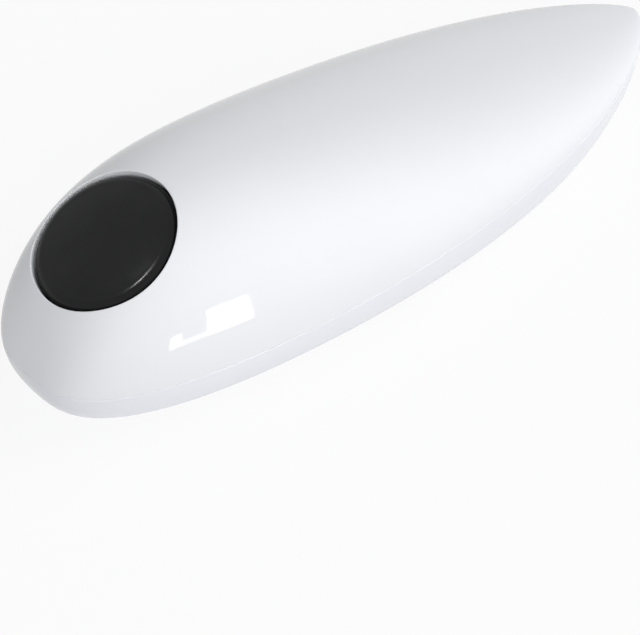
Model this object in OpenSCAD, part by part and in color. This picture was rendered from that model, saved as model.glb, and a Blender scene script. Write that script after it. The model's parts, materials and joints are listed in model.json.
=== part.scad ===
// Battery-driven electric can opener that rides on the rim of a can.
// Millimetres, +Z up, nose towards -X, origin at the middle of the lowest plane.

/* [Casing] */
// Length of the casing, nose to tail
body_l = 180; // [176:1:190]
// Greatest width of the casing
body_w = 65; // [64:0.5:72]
// Height of the dome above the parting line at its crest
dome_h = 27.4; // [27:0.1:30]
// Height of the parting line above the base at the nose
part_h = 6.9; // [6.8:0.1:8]
// Extra height of the parting line at the tail
part_rise = 5.8; // [5:0.1:6]
// Lift of the base under the tail
tail_lift = 5.1; // [4.5:0.1:6]
// Squareness of the dome's cross-section
round_n = 2.25; // [2.2:0.05:2.5]
// Wall thickness of the casing
wall = 2; // [1.8:0.1:2.1]

/* [Button] */
// Radius of the button cap
button_r = 15.4; // [14:0.1:15.5]
// Distance of the button's centre from the nose
button_from_nose = 22.3; // [22:0.1:23.5]
// Height of the button's edge plane above the base at its centre
button_z = 27.4; // [27:0.1:27.8]
// Tilt of the button towards the nose
button_tilt = 25; // [24.5:0.5:26]
// Travel of the button
button_travel = 2.5; // [1.5:0.1:2.6]
// Wire thickness of the button spring
spring_wire = 0.8; // [0.5:0.1:1]

/* [Wheels] */
// Distance of the drive spindle from the nose
drive_from_nose = 46; // [45.8:0.1:47]
// Radius of the drive wheel over its teeth
drive_r = 5.6; // [5:0.1:5.8]
// Number of teeth on the drive wheel
drive_teeth = 24; // [16:1:30]
// Radius of the cutter wheel
cutter_r = 8; // [7:0.1:8.1]
// Offset of the cutter stud in its carriage
cutter_offset = 3; // [2:0.1:3.1]
// Swing of the cutter carriage
carriage_swing = 110; // [60:5:120]
// Height of the casing base over the lowest plane
base_z = 6.2; // [6:0.1:6.6]
// Thickness of the guide plate
guide_t = 1.2; // [1:0.1:1.4]
// Radius of the lid magnet
magnet_r = 8; // [6:0.1:8.2]
// Distance of the lid magnet from the nose
magnet_from_nose = 79; // [78.6:0.1:79.4]

/* [Gears] */
// Tooth size of the output and clutch gears
low_mod = 1; // [0.96:0.01:1.01]
// Tooth size of the middle gears
mid_mod = 0.8; // [0.76:0.01:0.82]
// Tooth size of the worm and its wheel
worm_mod = 0.7; // [0.66:0.01:0.71]
// Face width of each gear layer
gear_t = 2.4; // [2:0.1:2.5]
// Sideways play between meshing teeth
tooth_play = 0.16; // [0.1:0.02:0.3]
// Direction from the spindle to the second gear
second_at = 28; // [26:1:30]
// Direction from the second gear to the first gear
first_at = -50; // [-52:1:-48]
// Radius of the gear pins
pin_r = 1.5; // [1.2:0.1:1.6]
// Radius of the drive spindle
spindle_r = 2.5; // [2:0.1:2.6]

/* [Motor] */
// Width of the motor can
motor_w = 19; // [17:0.5:19]
// Height of the motor can over its flats
motor_h = 14; // [12:0.5:14]
// Length of the motor
motor_l = 23; // [20:0.5:23.5]
// Radius of the motor shaft
shaft_r = 1; // [0.8:0.05:1.2]

/* [Batteries] */
// Radius of one cell
cell_r = 7.2; // [6.8:0.05:7.25]
// Length of one cell over its button
cell_l = 50.5; // [48:0.1:50.6]
// Travel of the battery door
door_travel = 56; // [40:1:58]
// Thickness of the battery door
door_t = 1.6; // [1.2:0.1:1.8]

/* [Clearances] */
// Radial clearance of a turning fit
run_fit = 0.05; // [0.02:0.01:0.1]
// Gap between faces that slide past each other
slide_gap = 0.1; // [0.05:0.01:0.15]

/* [Output] */
// Which piece to show

/* [Hidden] */
$fn = 48;
eps = 0.01;
nose_x = -body_l / 2;

// outline and dome, u runs from 0 at the nose to 1 at the tail
function plan_f(u) = pow(max(0, 1 - pow(1 - u, 2.3)), 1 / 3.1) * pow(max(0, 1 - pow(u, 3.1)), 1 / 1.48);
function dome_f(u) = pow(max(0, 1 - pow(1 - u, 6.9)), 1 / 1.155) * pow(max(0, 1 - pow(u, 0.45)), 1 / 1.15);
plan_peak = plan_f(0.46);
dome_peak = dome_f(0.21);
function half_w(u) = body_w / 2 * plan_f(u) / plan_peak;
function rise_h(u) = dome_h * dome_f(u) / dome_peak;
function part_z(x) = base_z + part_h + part_rise * (x - nose_x) / body_l;
function lift(x) = tail_lift * pow(max(0, (x - nose_x) / body_l - 0.65) / 0.35, 2);
function base_at(x) = base_z + lift(x);
// how far the base edge stands in from the parting line, more along the sides than at the nose
function corner_at(u) = corner_nose + corner_gain * pow(sin(90 * min(1, u / 0.4)), 2);
function station(i, m) = (1 - cos(180 * i / m)) / 2;
function shrink(v, t) = v - min(t, v / 2);

// layers of the gear train
plate_t = 1.2;
floor_z = base_z + 2;
lower_top = floor_z + plate_t;
layer_a = lower_top + 0.2;
layer_a_top = layer_a + gear_t;
layer_b = layer_a_top + 0.2;
out_top = layer_b + gear_t + 0.4;
layer_c = out_top + 0.4;
layer_c_top = layer_c + gear_t;
upper_bot = layer_c_top + 0.2;
upper_top = upper_bot + plate_t;
motor_z = upper_top + 0.2 + motor_h / 2;
guide_z = base_z - guide_t;
corner_nose = 2;
corner_gain = 1.6;

// gear positions
pinion_n = 12;
wheel_n = 30;
clutch_n = 22;
worm_n = 28;
drive_x = nose_x + drive_from_nose;
hub_x = drive_x - low_mod * (pinion_n + clutch_n) / 2;
second_d = low_mod * (pinion_n + wheel_n) / 2;
second_x = drive_x + second_d * cos(second_at);
second_y = second_d * sin(second_at);
first_d = mid_mod * (pinion_n + wheel_n) / 2;
first_x = second_x + first_d * cos(first_at);
first_y = second_y + first_d * sin(first_at);
worm_pitch_r = 3.2;
worm_play = 0.5;
wheel_pitch_r = worm_mod * worm_n / 2;
motor_y = first_y + wheel_pitch_r + worm_pitch_r;
worm_l = 11;
motor_front = first_x - worm_l / 2 - 4.9;
motor_back = motor_front - motor_l;
pillar_r = 2.2;
pillars = [[nose_x + 50, -19], [nose_x + 68, -15], [nose_x + 82.5, 11], [nose_x + 46, body_w / 2 - 12]];

// button frame
button_x = nose_x + button_from_nose;
button_h = base_z + button_z;
hole_r = button_r + 0.35;
module at_button() {
    translate([button_x, 0, button_h])
        rotate([0, -button_tilt, 0])
            children();
}
switch_top = -11;
switch_size = [5.8, 12.8, 6.5];
switch_bot = switch_top - switch_size[2];

// batteries
cell_z = base_z + 1.8 + cell_r;
cell_y = 7.4;
cell_x = nose_x + 90;
pack_l = cell_l + 2.5;
frame_top = base_z + 3.4;
door_top = base_z + door_t;
door_from = cell_x - 1.4;
door_to = cell_x + pack_l + 4.5;
door_w = 15.5;
tongue_w = 16.3;
magnet_x = nose_x + magnet_from_nose;

// casing screws: x, y, height of the head's seat
side_y = half_w(77 / body_l) - 6.9;
screw_spots = [
    [nose_x + 6.5, 0, base_z + 2.6],
    [nose_x + 77, side_y, base_z + 5.1],
    [nose_x + 77, -side_y, base_z + 5.1],
    [nose_x + 162, 0, base_z + 4.3]
];
screw_len = 10;
screw_r = 1.4;
head_r = 2.5;

// ---------- helpers ----------

function ring_tris(a, b, n) = [
    for (i = [0:n - 1])
        let (j = (i + 1) % n)
            each [[a * n + i, b * n + j, a * n + j], [a * n + i, b * n + i, b * n + j]]
];

// closed loops of the bottom cover, one plan point per index
function loop_points(inset, zadd, kind, m, share = -1) = [
    for (k = [0:2 * m - 1])
        let (
            i = k <= m ? k : 2 * m - k,
            s = k <= m ? 1 : -1,
            u = station(i, m),
            x = nose_x + inset + (body_l - 2 * inset) * u,
            y = s * shrink(half_w(u), share < 0 ? inset : share * corner_at(u)),
            z = kind < 0 ? base_at(x) + zadd
                : kind > 2 ? part_z(x) + zadd * min(1, 0.14 * rise_h(u)) + 0.02
                : kind > 1 ? part_z(x) + zadd
                : base_at(x) + (part_z(x) - base_at(x)) * kind
        ) [x, y, z]
];

module pan_shell() {
    m = 40;
    n = 2 * m;
    loops = [
        loop_points(corner_nose, 0, -1, m, 1),
        for (a = [25, 50, 72])
            loop_points(corner_nose * (1 - sin(a)), 0, 1 - cos(a), m, 1 - sin(a)),
        loop_points(0, 0, 2, m),
        loop_points(wall + 0.6, 0, 2, m),
        loop_points(wall + 0.6, 1, 3, m),
        loop_points(wall + 1.5, 1, 3, m),
        loop_points(wall + 1.5, -0.8, 2, m),
        loop_points(wall + 0.2, -2, 2, m),
        loop_points(wall + 0.8, 3.8, -1, m),
        loop_points(wall + 2, 2, -1, m)
    ];
    last = len(loops) - 1;
    sides = [for (a = [0:last - 1]) each ring_tris(a, a + 1, n)];
    low = [for (i = [1:m - 1]) each [[i, i + 1, n - i], [i + 1, (n - i - 1) % n, n - i]]];
    top = [
        for (i = [1:m - 1])
            each [[last * n + i, last * n + n - i, last * n + i + 1],
                  [last * n + i + 1, last * n + n - i, last * n + (n - i - 1) % n]]
    ];
    ends = [[0, 1, n - 1], [last * n, last * n + n - 1, last * n + 1]];
    polyhedron(
        points = [for (l = loops) each l],
        faces = [for (f = concat(sides, low, top, ends)) [f[0], f[2], f[1]]]
    );
}

function dome_points(inset, m, k) = [
    for (i = [0:m])
        for (j = [0:k])
            let (
                u = station(i, m),
                x = nose_x + inset + (body_l - 2 * inset) * u,
                w = shrink(half_w(u), inset),
                h = shrink(rise_h(u), inset),
                t = 180 * j / k,
                c = cos(t)
            ) [
                x,
                -(c < 0 ? -1 : 1) * w * pow(abs(c), 2 / round_n),
                part_z(x) + h * pow(max(0, sin(t)), 2 / round_n)
            ]
];

module dome_shell() {
    m = 44;
    k = 20;
    q = k + 1;
    n = (m + 1) * q;
    outer = [
        for (i = [0:m - 1])
            for (j = [0:k - 1])
                each [[i * q + j, (i + 1) * q + j + 1, (i + 1) * q + j],
                      [i * q + j, i * q + j + 1, (i + 1) * q + j + 1]]
    ];
    inner = [for (f = outer) [f[0] + n, f[2] + n, f[1] + n]];
    rim = [
        for (i = [0:m - 1])
            each [
                [i * q, (i + 1) * q, n + i * q],
                [(i + 1) * q, n + (i + 1) * q, n + i * q],
                [i * q + k, n + i * q + k, (i + 1) * q + k],
                [(i + 1) * q + k, n + i * q + k, n + (i + 1) * q + k]
            ]
    ];
    polyhedron(
        points = concat(dome_points(0, m, k), dome_points(wall, m, k)),
        faces = concat(outer, inner, rim)
    );
}

// involute tooth outline
function inv_deg(a) = tan(a) * 180 / PI - a;
function flank(r, rb) = r <= rb ? 0 : inv_deg(acos(rb / r));
function half_tooth(r, rp, rb, z, play) =
    90 / z - play / rp * 45 / PI * 2 / 2 + flank(rp, rb) - flank(r, rb);
module gear_shape(z, m, play, add = 0.95, ded = 1.2, pa = 25) {
    rp = z * m / 2;
    rb = rp * cos(pa);
    ra = rp + add * m;
    rr = rp - ded * m;
    r0 = max(rb, rr);
    radii = [r0, r0 + (ra - r0) * 0.35, r0 + (ra - r0) * 0.7, ra];
    polygon([
        for (t = [0:z - 1])
            let (a = 360 * t / z)
                each concat(
                    [polar(rr, a - half_tooth(r0, rp, rb, z, play) - 0.4)],
                    [for (r = radii) polar(r, a - half_tooth(r, rp, rb, z, play))],
                    [for (k = [3:-1:0]) polar(radii[k], a + half_tooth(radii[k], rp, rb, z, play))],
                    [polar(rr, a + half_tooth(r0, rp, rb, z, play) + 0.4)]
                )
    ]);
}
function polar(r, a) = [r * cos(a), r * sin(a)];
function mate(a, p, z1, z2) = a + 180 + ((a - p) * z1 / 360 + 0.5) * 360 / z2;

// tooth phases, each set from the gear it meets
pinion_p = 0;
second_p = mate(second_at, pinion_p + 0, wheel_n, pinion_n);
clutch_p = mate(180, pinion_p, pinion_n, clutch_n);
first_p = mate(first_at, second_p, wheel_n, pinion_n);
worm_wheel_p = 90 + 180 / worm_n;

module pan_head(r, t, slot) {
    difference() {
        cylinder(r = r, h = t);
        translate([0, 0, t - 0.6]) {
            translate([-r * 0.6, -slot / 2, 0])
                cube([r * 1.2, slot, 1]);
            translate([-slot / 2, -r * 0.6, 0])
                cube([slot, r * 1.2, 1]);
        }
    }
}

// screw with its seat at the origin, shank along +Z, head below
module screw_up(sr, len, hr, ht) {
    union() {
        cylinder(r = sr, h = len);
        mirror([0, 0, 1])
            pan_head(hr, ht, 0.6);
    }
}

// screw with its seat at the origin, shank along -Z, head above
module screw_down(sr, len, hr, ht) {
    mirror([0, 0, 1])
        screw_up(sr, len, hr, ht);
}

function unit(v) = v / max(norm(v), 0.000001);
function catmull(a, b, c, d, t) =
    0.5 * (2 * b + (c - a) * t + (2 * a - 5 * b + 4 * c - d) * t * t
    + (3 * b - a - 3 * c + d) * t * t * t);
function smooth_path(p, s) = [
    for (i = [0:len(p) - 2])
        for (k = [0:s - 1])
            catmull(p[max(i - 1, 0)], p[i], p[i + 1], p[min(i + 2, len(p) - 1)], k / s),
    p[len(p) - 1]
];

// round wire along a list of points
module wire(path, r, sides = 8) {
    n = len(path);
    tang = [for (i = [0:n - 1]) unit(path[min(i + 1, n - 1)] - path[max(i - 1, 0)])];
    pts = [
        for (i = [0:n - 1])
            let (
                t = tang[i],
                side = unit(abs(t[2]) > 0.95 ? cross(t, [0, 1, 0]) : cross(t, [0, 0, 1])),
                up = cross(side, t)
            )
                for (j = [0:sides - 1])
                    path[i] + r * (cos(360 * j / sides) * side + sin(360 * j / sides) * up)
    ];
    skin = [for (i = [0:n - 2]) each ring_tris(i, i + 1, sides)];
    polyhedron(
        points = concat(pts, [path[0], path[n - 1]]),
        faces = concat(
            skin,
            [for (j = [0:sides - 1]) [n * sides, j, (j + 1) % sides]],
            [for (j = [0:sides - 1]) [n * sides + 1, (n - 1) * sides + (j + 1) % sides, (n - 1) * sides + j]]
        )
    );
}

// coil about +Z
module coil(r, wire_r, z0, z1, turns, steps = 16, sides = 8) {
    n = turns * steps;
    pts = [
        for (i = [0:n])
            for (j = [0:sides - 1])
                let (
                    a = 360 * i / steps,
                    q = r + wire_r * cos(360 * j / sides)
                ) [q * cos(a), q * sin(a), z0 + (z1 - z0) * i / n + wire_r * sin(360 * j / sides)]
    ];
    skin = [for (i = [0:n - 1]) each ring_tris(i, i + 1, sides)];
    polyhedron(
        points = pts,
        faces = concat(
            skin,
            [[for (j = [0:sides - 1]) j]],
            [[for (j = [sides - 1:-1:0]) n * sides + j]]
        )
    );
}

// ---------- casing ----------

module top_cover() {
    color([0.95, 0.95, 0.96])
        difference() {
            union() {
                dome_shell();
                at_button()
                    translate([0, 0, -5.5])
                        cylinder(r = hole_r + 1.5, h = 4.8);
                // boss over the first gear's pin
                translate([first_x, first_y, motor_z + 2])
                    cylinder(r = pin_r + 1.6, h = 8.2);
                translate([screw_spots[0][0], 0, part_z(screw_spots[0][0])])
                    cylinder(r = 2.8, h = 5.8);
                translate([nose_x + 2.4, -0.8, part_z(screw_spots[0][0]) + 1.2])
                    cube([4, 1.6, 3.7]);
                for (k = [1, 2])
                    translate([screw_spots[k][0], screw_spots[k][1], part_z(screw_spots[k][0])])
                        cylinder(r = 2.8, h = 10.6);
                translate([screw_spots[3][0], 0, part_z(screw_spots[3][0])])
                    cylinder(r = 2.8, h = rise_h(162 / body_l) - 0.9);
            }
            at_button()
                translate([0, 0, -12])
                    cylinder(r = hole_r, h = 22);
            translate([first_x, first_y, 0])
                cylinder(r = pin_r, h = motor_z + 5);
            for (s = screw_spots)
                translate([s[0], s[1], 0])
                    cylinder(r = screw_r, h = s[2] + screw_len + 0.1);
        }
}

module bottom_cover() {
    color([0.93, 0.93, 0.95])
        difference() {
            union() {
                pan_shell();
                translate([door_from - 0.6, -17.7, base_z + 1.6])
                    cube([61, 35.4, frame_top - base_z - 1.6]);
                for (s = screw_spots)
                    translate([s[0], s[1], base_at(s[0]) + 1])
                        cylinder(r = 3.3, h = part_z(s[0]) - base_at(s[0]) - 1);
                for (k = [-1, 1])
                    translate([nose_x + 14.5, 9 * k, base_z + 1])
                        cylinder(r = 2.4, h = 3);
            }
            for (s = screw_spots)
                translate([s[0], s[1], 0]) {
                    cylinder(r = screw_r, h = 40);
                    cylinder(r = head_r + 0.3, h = s[2]);
                }
            translate([hub_x, 0, 0])
                cylinder(r = bush_r, h = 12);
            translate([drive_x, 0, 0])
                cylinder(r = spindle_bush_r, h = 12);
            // channel, grooves and opening of the battery door
            translate([door_from - 0.2, -door_w - 0.3, 0])
                cube([100, 2 * door_w + 0.6, base_z + 1.8]);
            translate([door_from - 0.2, -tongue_w - 0.2, base_z + 0.7])
                cube([100, 2 * tongue_w + 0.4, 1.1]);
            translate([cell_x - 0.6, -14.9, 0])
                cube([pack_l + 1.2, 29.8, 20]);
            for (p = guide_spots)
                translate([p[0], p[1], 0])
                    cylinder(r = 1.2, h = base_z + 3.5);
            for (p = pillars)
                translate([p[0], p[1], 0]) {
                    cylinder(r = 1.2, h = 20);
                    cylinder(r = 2.3, h = base_z + 1.1);
                }
            translate([magnet_x, 0, 0]) {
                cylinder(r = 1.2, h = 20);
                translate([0, 0, floor_z - 1.2])
                    cylinder(r = 2.4, h = 5);
            }
            for (k = [-1, 1])
                translate([bracket_x, 18 * k, floor_z - 1.3])
                    cylinder(r = 1, h = 5);
        }
}
bush_r = 9;
spindle_bush_r = spindle_r + 2;
guide_spots = [[nose_x + 14.5, -9], [nose_x + 14.5, 9], [nose_x + 57.5, 0]];
bracket_x = button_x + 4.5;

module battery_door() {
    steps = [for (i = [0:12]) door_from + (door_to - door_from) * i / 12];
    color([0.93, 0.93, 0.95])
        difference() {
            union() {
                rotate([90, 0, 0])
                    translate([0, 0, -door_w])
                        linear_extrude(2 * door_w)
                            polygon(concat(
                                [for (x = steps) [x, base_at(x)]],
                                [[door_to, door_top], [door_from, door_top]]
                            ));
                translate([door_from, -tongue_w, base_z + 0.8])
                    cube([48, 2 * tongue_w, door_t - 0.8]);
            }
            for (i = [0:4])
                translate([door_to - 14 + 2.4 * i, 0, base_at(door_to - 14 + 2.4 * i) - 0.5])
                    rotate([90, 0, 0])
                        translate([0, 0, -8])
                            cylinder(r = 0.8, h = 16, $fn = 24);
        }
}

module casing_screws() {
    color([0.7, 0.71, 0.73])
        for (s = screw_spots)
            translate(s)
                screw_up(screw_r, screw_len, head_r, 1.6);
}

// ---------- guide plate, wheels and cutter ----------

module guide_plate() {
    color([0.78, 0.79, 0.8])
        difference() {
            translate([0, 0, guide_z])
                linear_extrude(guide_t)
                    union() {
                        translate([nose_x + 13, -10])
                            square([48, 20]);
                        translate([nose_x + 17, -14])
                            square([40, 28]);
                        for (x = [17, 57])
                            for (y = [-10, 10])
                                translate([nose_x + x, y])
                                    circle(r = 4);
                    }
            translate([hub_x, 0, 0])
                cylinder(r = bush_r, h = 20);
            translate([drive_x, 0, 0])
                cylinder(r = spindle_bush_r, h = 20);
            for (p = guide_spots)
                translate([p[0], p[1], guide_z]) {
                    cylinder(r = 1.2, h = 5);
                    translate([0, 0, -eps])
                        cylinder(r1 = 2.4, r2 = 1.2, h = 1 + eps);
                }
        }
}

module guide_screws() {
    color([0.7, 0.71, 0.73])
        for (p = guide_spots)
            translate([p[0], p[1], guide_z])
                difference() {
                    union() {
                        cylinder(r = 1.2, h = 4);
                        cylinder(r1 = 2.38, r2 = 1.18, h = 1);
                    }
                    translate([-1.2, -0.25, -0.5])
                        cube([2.4, 0.5, 0.9]);
                }
}

module spindle_bush() {
    color([0.72, 0.55, 0.3])
        translate([drive_x, 0, guide_z])
            difference() {
                cylinder(r = spindle_bush_r, h = lower_top - guide_z);
                translate([0, 0, -1])
                    cylinder(r = spindle_r + run_fit, h = 12);
            }
}

journal_r = bush_r - 1.5;
flange_z = guide_z - slide_gap - 1;
module carriage_bush() {
    color([0.72, 0.55, 0.3])
        translate([hub_x, 0, guide_z])
            difference() {
                cylinder(r = bush_r, h = floor_z - guide_z);
                translate([0, 0, -1])
                    cylinder(r = journal_r + run_fit, h = 12);
            }
}

stud_x = hub_x + cutter_offset * cos(carriage_swing);
stud_y = cutter_offset * sin(carriage_swing);
stud_r = 1.8;
ring_z = floor_z + slide_gap;
module cutter_carriage() {
    color([0.75, 0.76, 0.78])
        difference() {
            translate([hub_x, 0, 0]) {
                translate([0, 0, flange_z])
                    cylinder(r = journal_r + 1.1, h = 1);
                translate([0, 0, flange_z])
                    cylinder(r = journal_r, h = ring_z - flange_z);
                translate([0, 0, flange_z])
                    cylinder(r = journal_r - 0.6, h = ring_z + 0.8 - flange_z);
                translate([0, 0, flange_z])
                    cylinder(r = 3, h = layer_a_top - 0.2 - flange_z);
            }
            translate([stud_x, stud_y, 0])
                cylinder(r = stud_r, h = floor_z - 0.6);
            translate([hub_x, 0, ring_slot])
                difference() {
                    cylinder(r = 4, h = 0.5);
                    cylinder(r = 2.6, h = 0.5);
                }
        }
}
ring_slot = layer_a_top - 1.1;

module carriage_ring() {
    color([0.6, 0.61, 0.63])
        translate([hub_x, 0, ring_z])
            difference() {
                cylinder(r = bush_r + 0.2, h = 0.8);
                translate([0, 0, -1])
                    cylinder(r = journal_r - 0.6, h = 3);
                translate([0, -1.2, -1])
                    cube([12, 2.4, 3]);
            }
}

wheel_z = flange_z - 1.95;
module cutter_wheel() {
    color([0.8, 0.81, 0.83])
        translate([stud_x, stud_y, wheel_z])
            rotate_extrude($fn = 96)
                polygon([
                    [stud_r + run_fit, 0], [5, 0], [cutter_r - 0.2, 0.45], [cutter_r, 0.6],
                    [cutter_r - 0.2, 0.75], [5.4, 1.2], [3.4, 1.2], [3.4, 1.9], [stud_r + run_fit, 1.9]
                ]);
}

module cutter_washer() {
    color([0.7, 0.71, 0.73])
        translate([stud_x, stud_y, wheel_z - 0.4])
            difference() {
                cylinder(r = 3.2, h = 0.35);
                translate([0, 0, -1])
                    cylinder(r = stud_r, h = 3);
            }
}

module cutter_screw() {
    color([0.72, 0.73, 0.75])
        translate([stud_x, stud_y, 0])
            difference() {
                union() {
                    cylinder(r = 3.4, h = wheel_z - 0.4);
                    cylinder(r = stud_r, h = floor_z - 0.6);
                }
                translate([-2.2, -0.4, -0.3])
                    cube([4.4, 0.8, 0.9]);
            }
}

module clutch_gear() {
    color([0.6, 0.61, 0.63])
        translate([hub_x, 0, layer_a])
            difference() {
                rotate([0, 0, clutch_p])
                    linear_extrude(gear_t)
                        gear_shape(clutch_n, low_mod, tooth_play);
                translate([0, 0, -1])
                    cylinder(r = 3 + run_fit, h = 10);
                translate([0, 0, gear_t - 1.2])
                    cylinder(r = 5.5, h = 3);
            }
}

module clutch_washer() {
    color([0.6, 0.61, 0.63])
        translate([hub_x, 0, layer_a - 0.45])
            difference() {
                cylinder(r = 6, h = 0.35);
                translate([0, 0, -1])
                    cylinder(r = 3, h = 3);
            }
}

module clutch_ring() {
    color([0.6, 0.61, 0.63])
        translate([hub_x, 0, ring_slot])
            difference() {
                cylinder(r = 4.8, h = 0.5);
                translate([0, 0, -1])
                    cylinder(r = 2.6, h = 3);
                translate([0, -1, -1])
                    cube([8, 2, 3]);
            }
}

drive_z = 1.2;
module drive_spindle() {
    color([0.75, 0.76, 0.78])
        translate([drive_x, 0, 0])
            difference() {
                union() {
                    translate([0, 0, drive_z])
                        cylinder(r = spindle_r, h = upper_bot - 0.1 - drive_z);
                    translate([0, 0, upper_bot - 1])
                        cylinder(r = 1.8, h = 1.9);
                }
                cylinder(r = 1.2, h = drive_z + 6);
            }
}

module drive_wheel() {
    color([0.78, 0.79, 0.81])
        translate([drive_x, 0, drive_z])
            difference() {
                union() {
                    linear_extrude(guide_z - 0.4 - drive_z)
                        polygon([
                            for (i = [0:drive_teeth - 1])
                                let (a = 360 * i / drive_teeth, s = 360 / drive_teeth)
                                    each [
                                        polar(drive_r - 0.75, a - 0.5 * s),
                                        polar(drive_r, a - 0.1 * s),
                                        polar(drive_r, a + 0.1 * s)
                                    ]
                        ]);
                    cylinder(r = drive_r - 1.2, h = guide_z - 0.1 - drive_z);
                }
                translate([0, 0, -1])
                    cylinder(r = spindle_r, h = 10);
            }
}

module drive_screw() {
    color([0.7, 0.71, 0.73])
        translate([drive_x, 0, drive_z])
            screw_up(1.2, 5, 3.3, 1);
}

module spindle_pinion() {
    color([0.8, 0.79, 0.7])
        translate([drive_x, 0, layer_a])
            difference() {
                rotate([0, 0, pinion_p])
                    linear_extrude(gear_t)
                        gear_shape(pinion_n, low_mod, tooth_play);
                translate([0, 0, -1])
                    cylinder(r = spindle_r, h = 10);
            }
}

module output_gear() {
    color([0.6, 0.61, 0.63])
        translate([drive_x, 0, layer_b])
            difference() {
                union() {
                    rotate([0, 0, pinion_p])
                        linear_extrude(out_top - layer_b)
                            gear_shape(wheel_n, low_mod, tooth_play);
                    cylinder(r = 4.5, h = upper_bot - 0.3 - layer_b);
                }
                translate([0, 0, -1])
                    cylinder(r = spindle_r, h = 20);
                for (i = [0:5])
                    rotate([0, 0, 60 * i + 30])
                        translate([9, 0, -1])
                            cylinder(r = 2.2, h = 10);
            }
}

module second_gear() {
    color([0.88, 0.87, 0.82])
        translate([second_x, second_y, layer_b])
            difference() {
                union() {
                    rotate([0, 0, second_p])
                        linear_extrude(layer_c - layer_b)
                            gear_shape(pinion_n, low_mod, tooth_play);
                    translate([0, 0, layer_c - layer_b])
                        rotate([0, 0, second_p])
                            linear_extrude(gear_t)
                                gear_shape(wheel_n, mid_mod, tooth_play);
                }
                translate([0, 0, -1])
                    cylinder(r = pin_r + run_fit, h = 20);
            }
}

module second_gear_pin() {
    color([0.75, 0.76, 0.78])
        translate([second_x, second_y, floor_z])
            cylinder(r = pin_r, h = upper_top - floor_z);
}

wheel_t = 3;
module first_gear() {
    color([0.82, 0.8, 0.72])
        translate([first_x, first_y, layer_c])
            difference() {
                union() {
                    rotate([0, 0, first_p])
                        linear_extrude(gear_t)
                            gear_shape(pinion_n, mid_mod, tooth_play);
                    translate([0, 0, gear_t])
                        cylinder(r = pin_r + 1.4, h = motor_z - wheel_t / 2 - layer_c_top);
                    translate([0, 0, motor_z - wheel_t / 2 - layer_c])
                        rotate([0, 0, worm_wheel_p])
                            linear_extrude(wheel_t)
                                gear_shape(worm_n, worm_mod, 0.02, 0.75, 1, 20);
                }
                translate([0, 0, -1])
                    cylinder(r = pin_r + run_fit, h = 30);
            }
}

module first_gear_pin() {
    color([0.75, 0.76, 0.78])
        translate([first_x, first_y, floor_z])
            cylinder(r = pin_r, h = motor_z + 4.6 - floor_z);
}

// ---------- motor ----------

// worm thread as a height field round the shaft
function thread_r(q) =
    let (
        f = abs(q - floor(q) - 0.5) * 2,
        lead = PI * worm_mod,
        half = (lead / 2 - worm_play) / lead,
        slope = 0.36 * worm_mod / lead * 2
    )
        worm_pitch_r + worm_mod * max(-1, min(0.7, (half + 0 - f) / slope * 1));
module worm() {
    steps = 8;
    sides = 24;
    turns = 5;
    lead = PI * worm_mod;
    n = steps * turns;
    x0 = -lead * turns / 2;
    pts = [
        for (i = [0:n])
            for (j = [0:sides - 1])
                let (
                    a = 360 * j / sides,
                    r = thread_r(i / steps - j / sides + 0.5)
                ) [x0 + lead * i / steps, r * cos(a), r * sin(a)]
    ];
    skin = [for (i = [0:n - 1]) each ring_tris(i, i + 1, sides)];
    color([0.8, 0.66, 0.35])
        translate([first_x, motor_y, motor_z])
            difference() {
                polyhedron(
                    points = pts,
                    faces = concat(
                        [for (f = skin) [f[0], f[2], f[1]]],
                        [[for (j = [sides - 1:-1:0]) j]],
                        [[for (j = [0:sides - 1]) n * sides + j]]
                    )
                );
                translate([-20, 0, 0])
                    rotate([0, 90, 0])
                        cylinder(r = shaft_r, h = 40);
            }
}

module along_motor(x) {
    translate([x, motor_y, motor_z])
        rotate([0, 90, 0])
            children();
}

module motor_section(w, h, len) {
    intersection() {
        cylinder(r = w / 2, h = len, $fn = 72);
        translate([-h / 2, -w / 2 - 1, 0])
            cube([h, w + 2, len]);
    }
}

module motor_shaft() {
    color([0.75, 0.76, 0.78])
        along_motor(motor_back + 1)
            cylinder(r = shaft_r, h = motor_l + 4.4 + worm_l);
}

module motor_armature() {
    color([0.62, 0.4, 0.22])
        along_motor(motor_back + 7) {
            difference() {
                union() {
                    linear_extrude(11)
                        union() {
                            circle(r = 2.6);
                            for (i = [0:2])
                                rotate(120 * i)
                                    translate([0, -0.8])
                                        square([4.6, 1.6]);
                            for (i = [0:2])
                                rotate(120 * i)
                                    intersection() {
                                        difference() {
                                            circle(r = 5.9);
                                            circle(r = 4.3);
                                        }
                                        translate([0, -4])
                                            square([7, 8]);
                                    }
                        }
                    translate([0, 0, -3])
                        cylinder(r = 2.4, h = 3);
                }
                translate([0, 0, -4])
                    cylinder(r = shaft_r, h = 20);
            }
        }
}

module motor_magnets() {
    color([0.25, 0.25, 0.27])
        along_motor(motor_back + 6)
            for (k = [0, 180])
                rotate([0, 0, k])
                    difference() {
                        intersection() {
                            cylinder(r = motor_w / 2 - 0.8, h = 13);
                            translate([-4.4, 0, 0])
                                cube([8.8, 20, 13]);
                        }
                        translate([0, 0, -1])
                            cylinder(r = 6.3, h = 20);
                    }
}

module motor_can() {
    color([0.74, 0.75, 0.77])
        along_motor(motor_back + 2.5)
            difference() {
                union() {
                    motor_section(motor_w, motor_h, motor_l - 2.5);
                    translate([0, 0, motor_l - 3])
                        cylinder(r = 3, h = 1.5);
                }
                translate([0, 0, -1])
                    motor_section(motor_w - 1.6, motor_h - 1.6, motor_l - 2.5 + 0.2);
                translate([0, 0, 10])
                    cylinder(r = shaft_r + run_fit, h = 30);
            }
}

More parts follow.
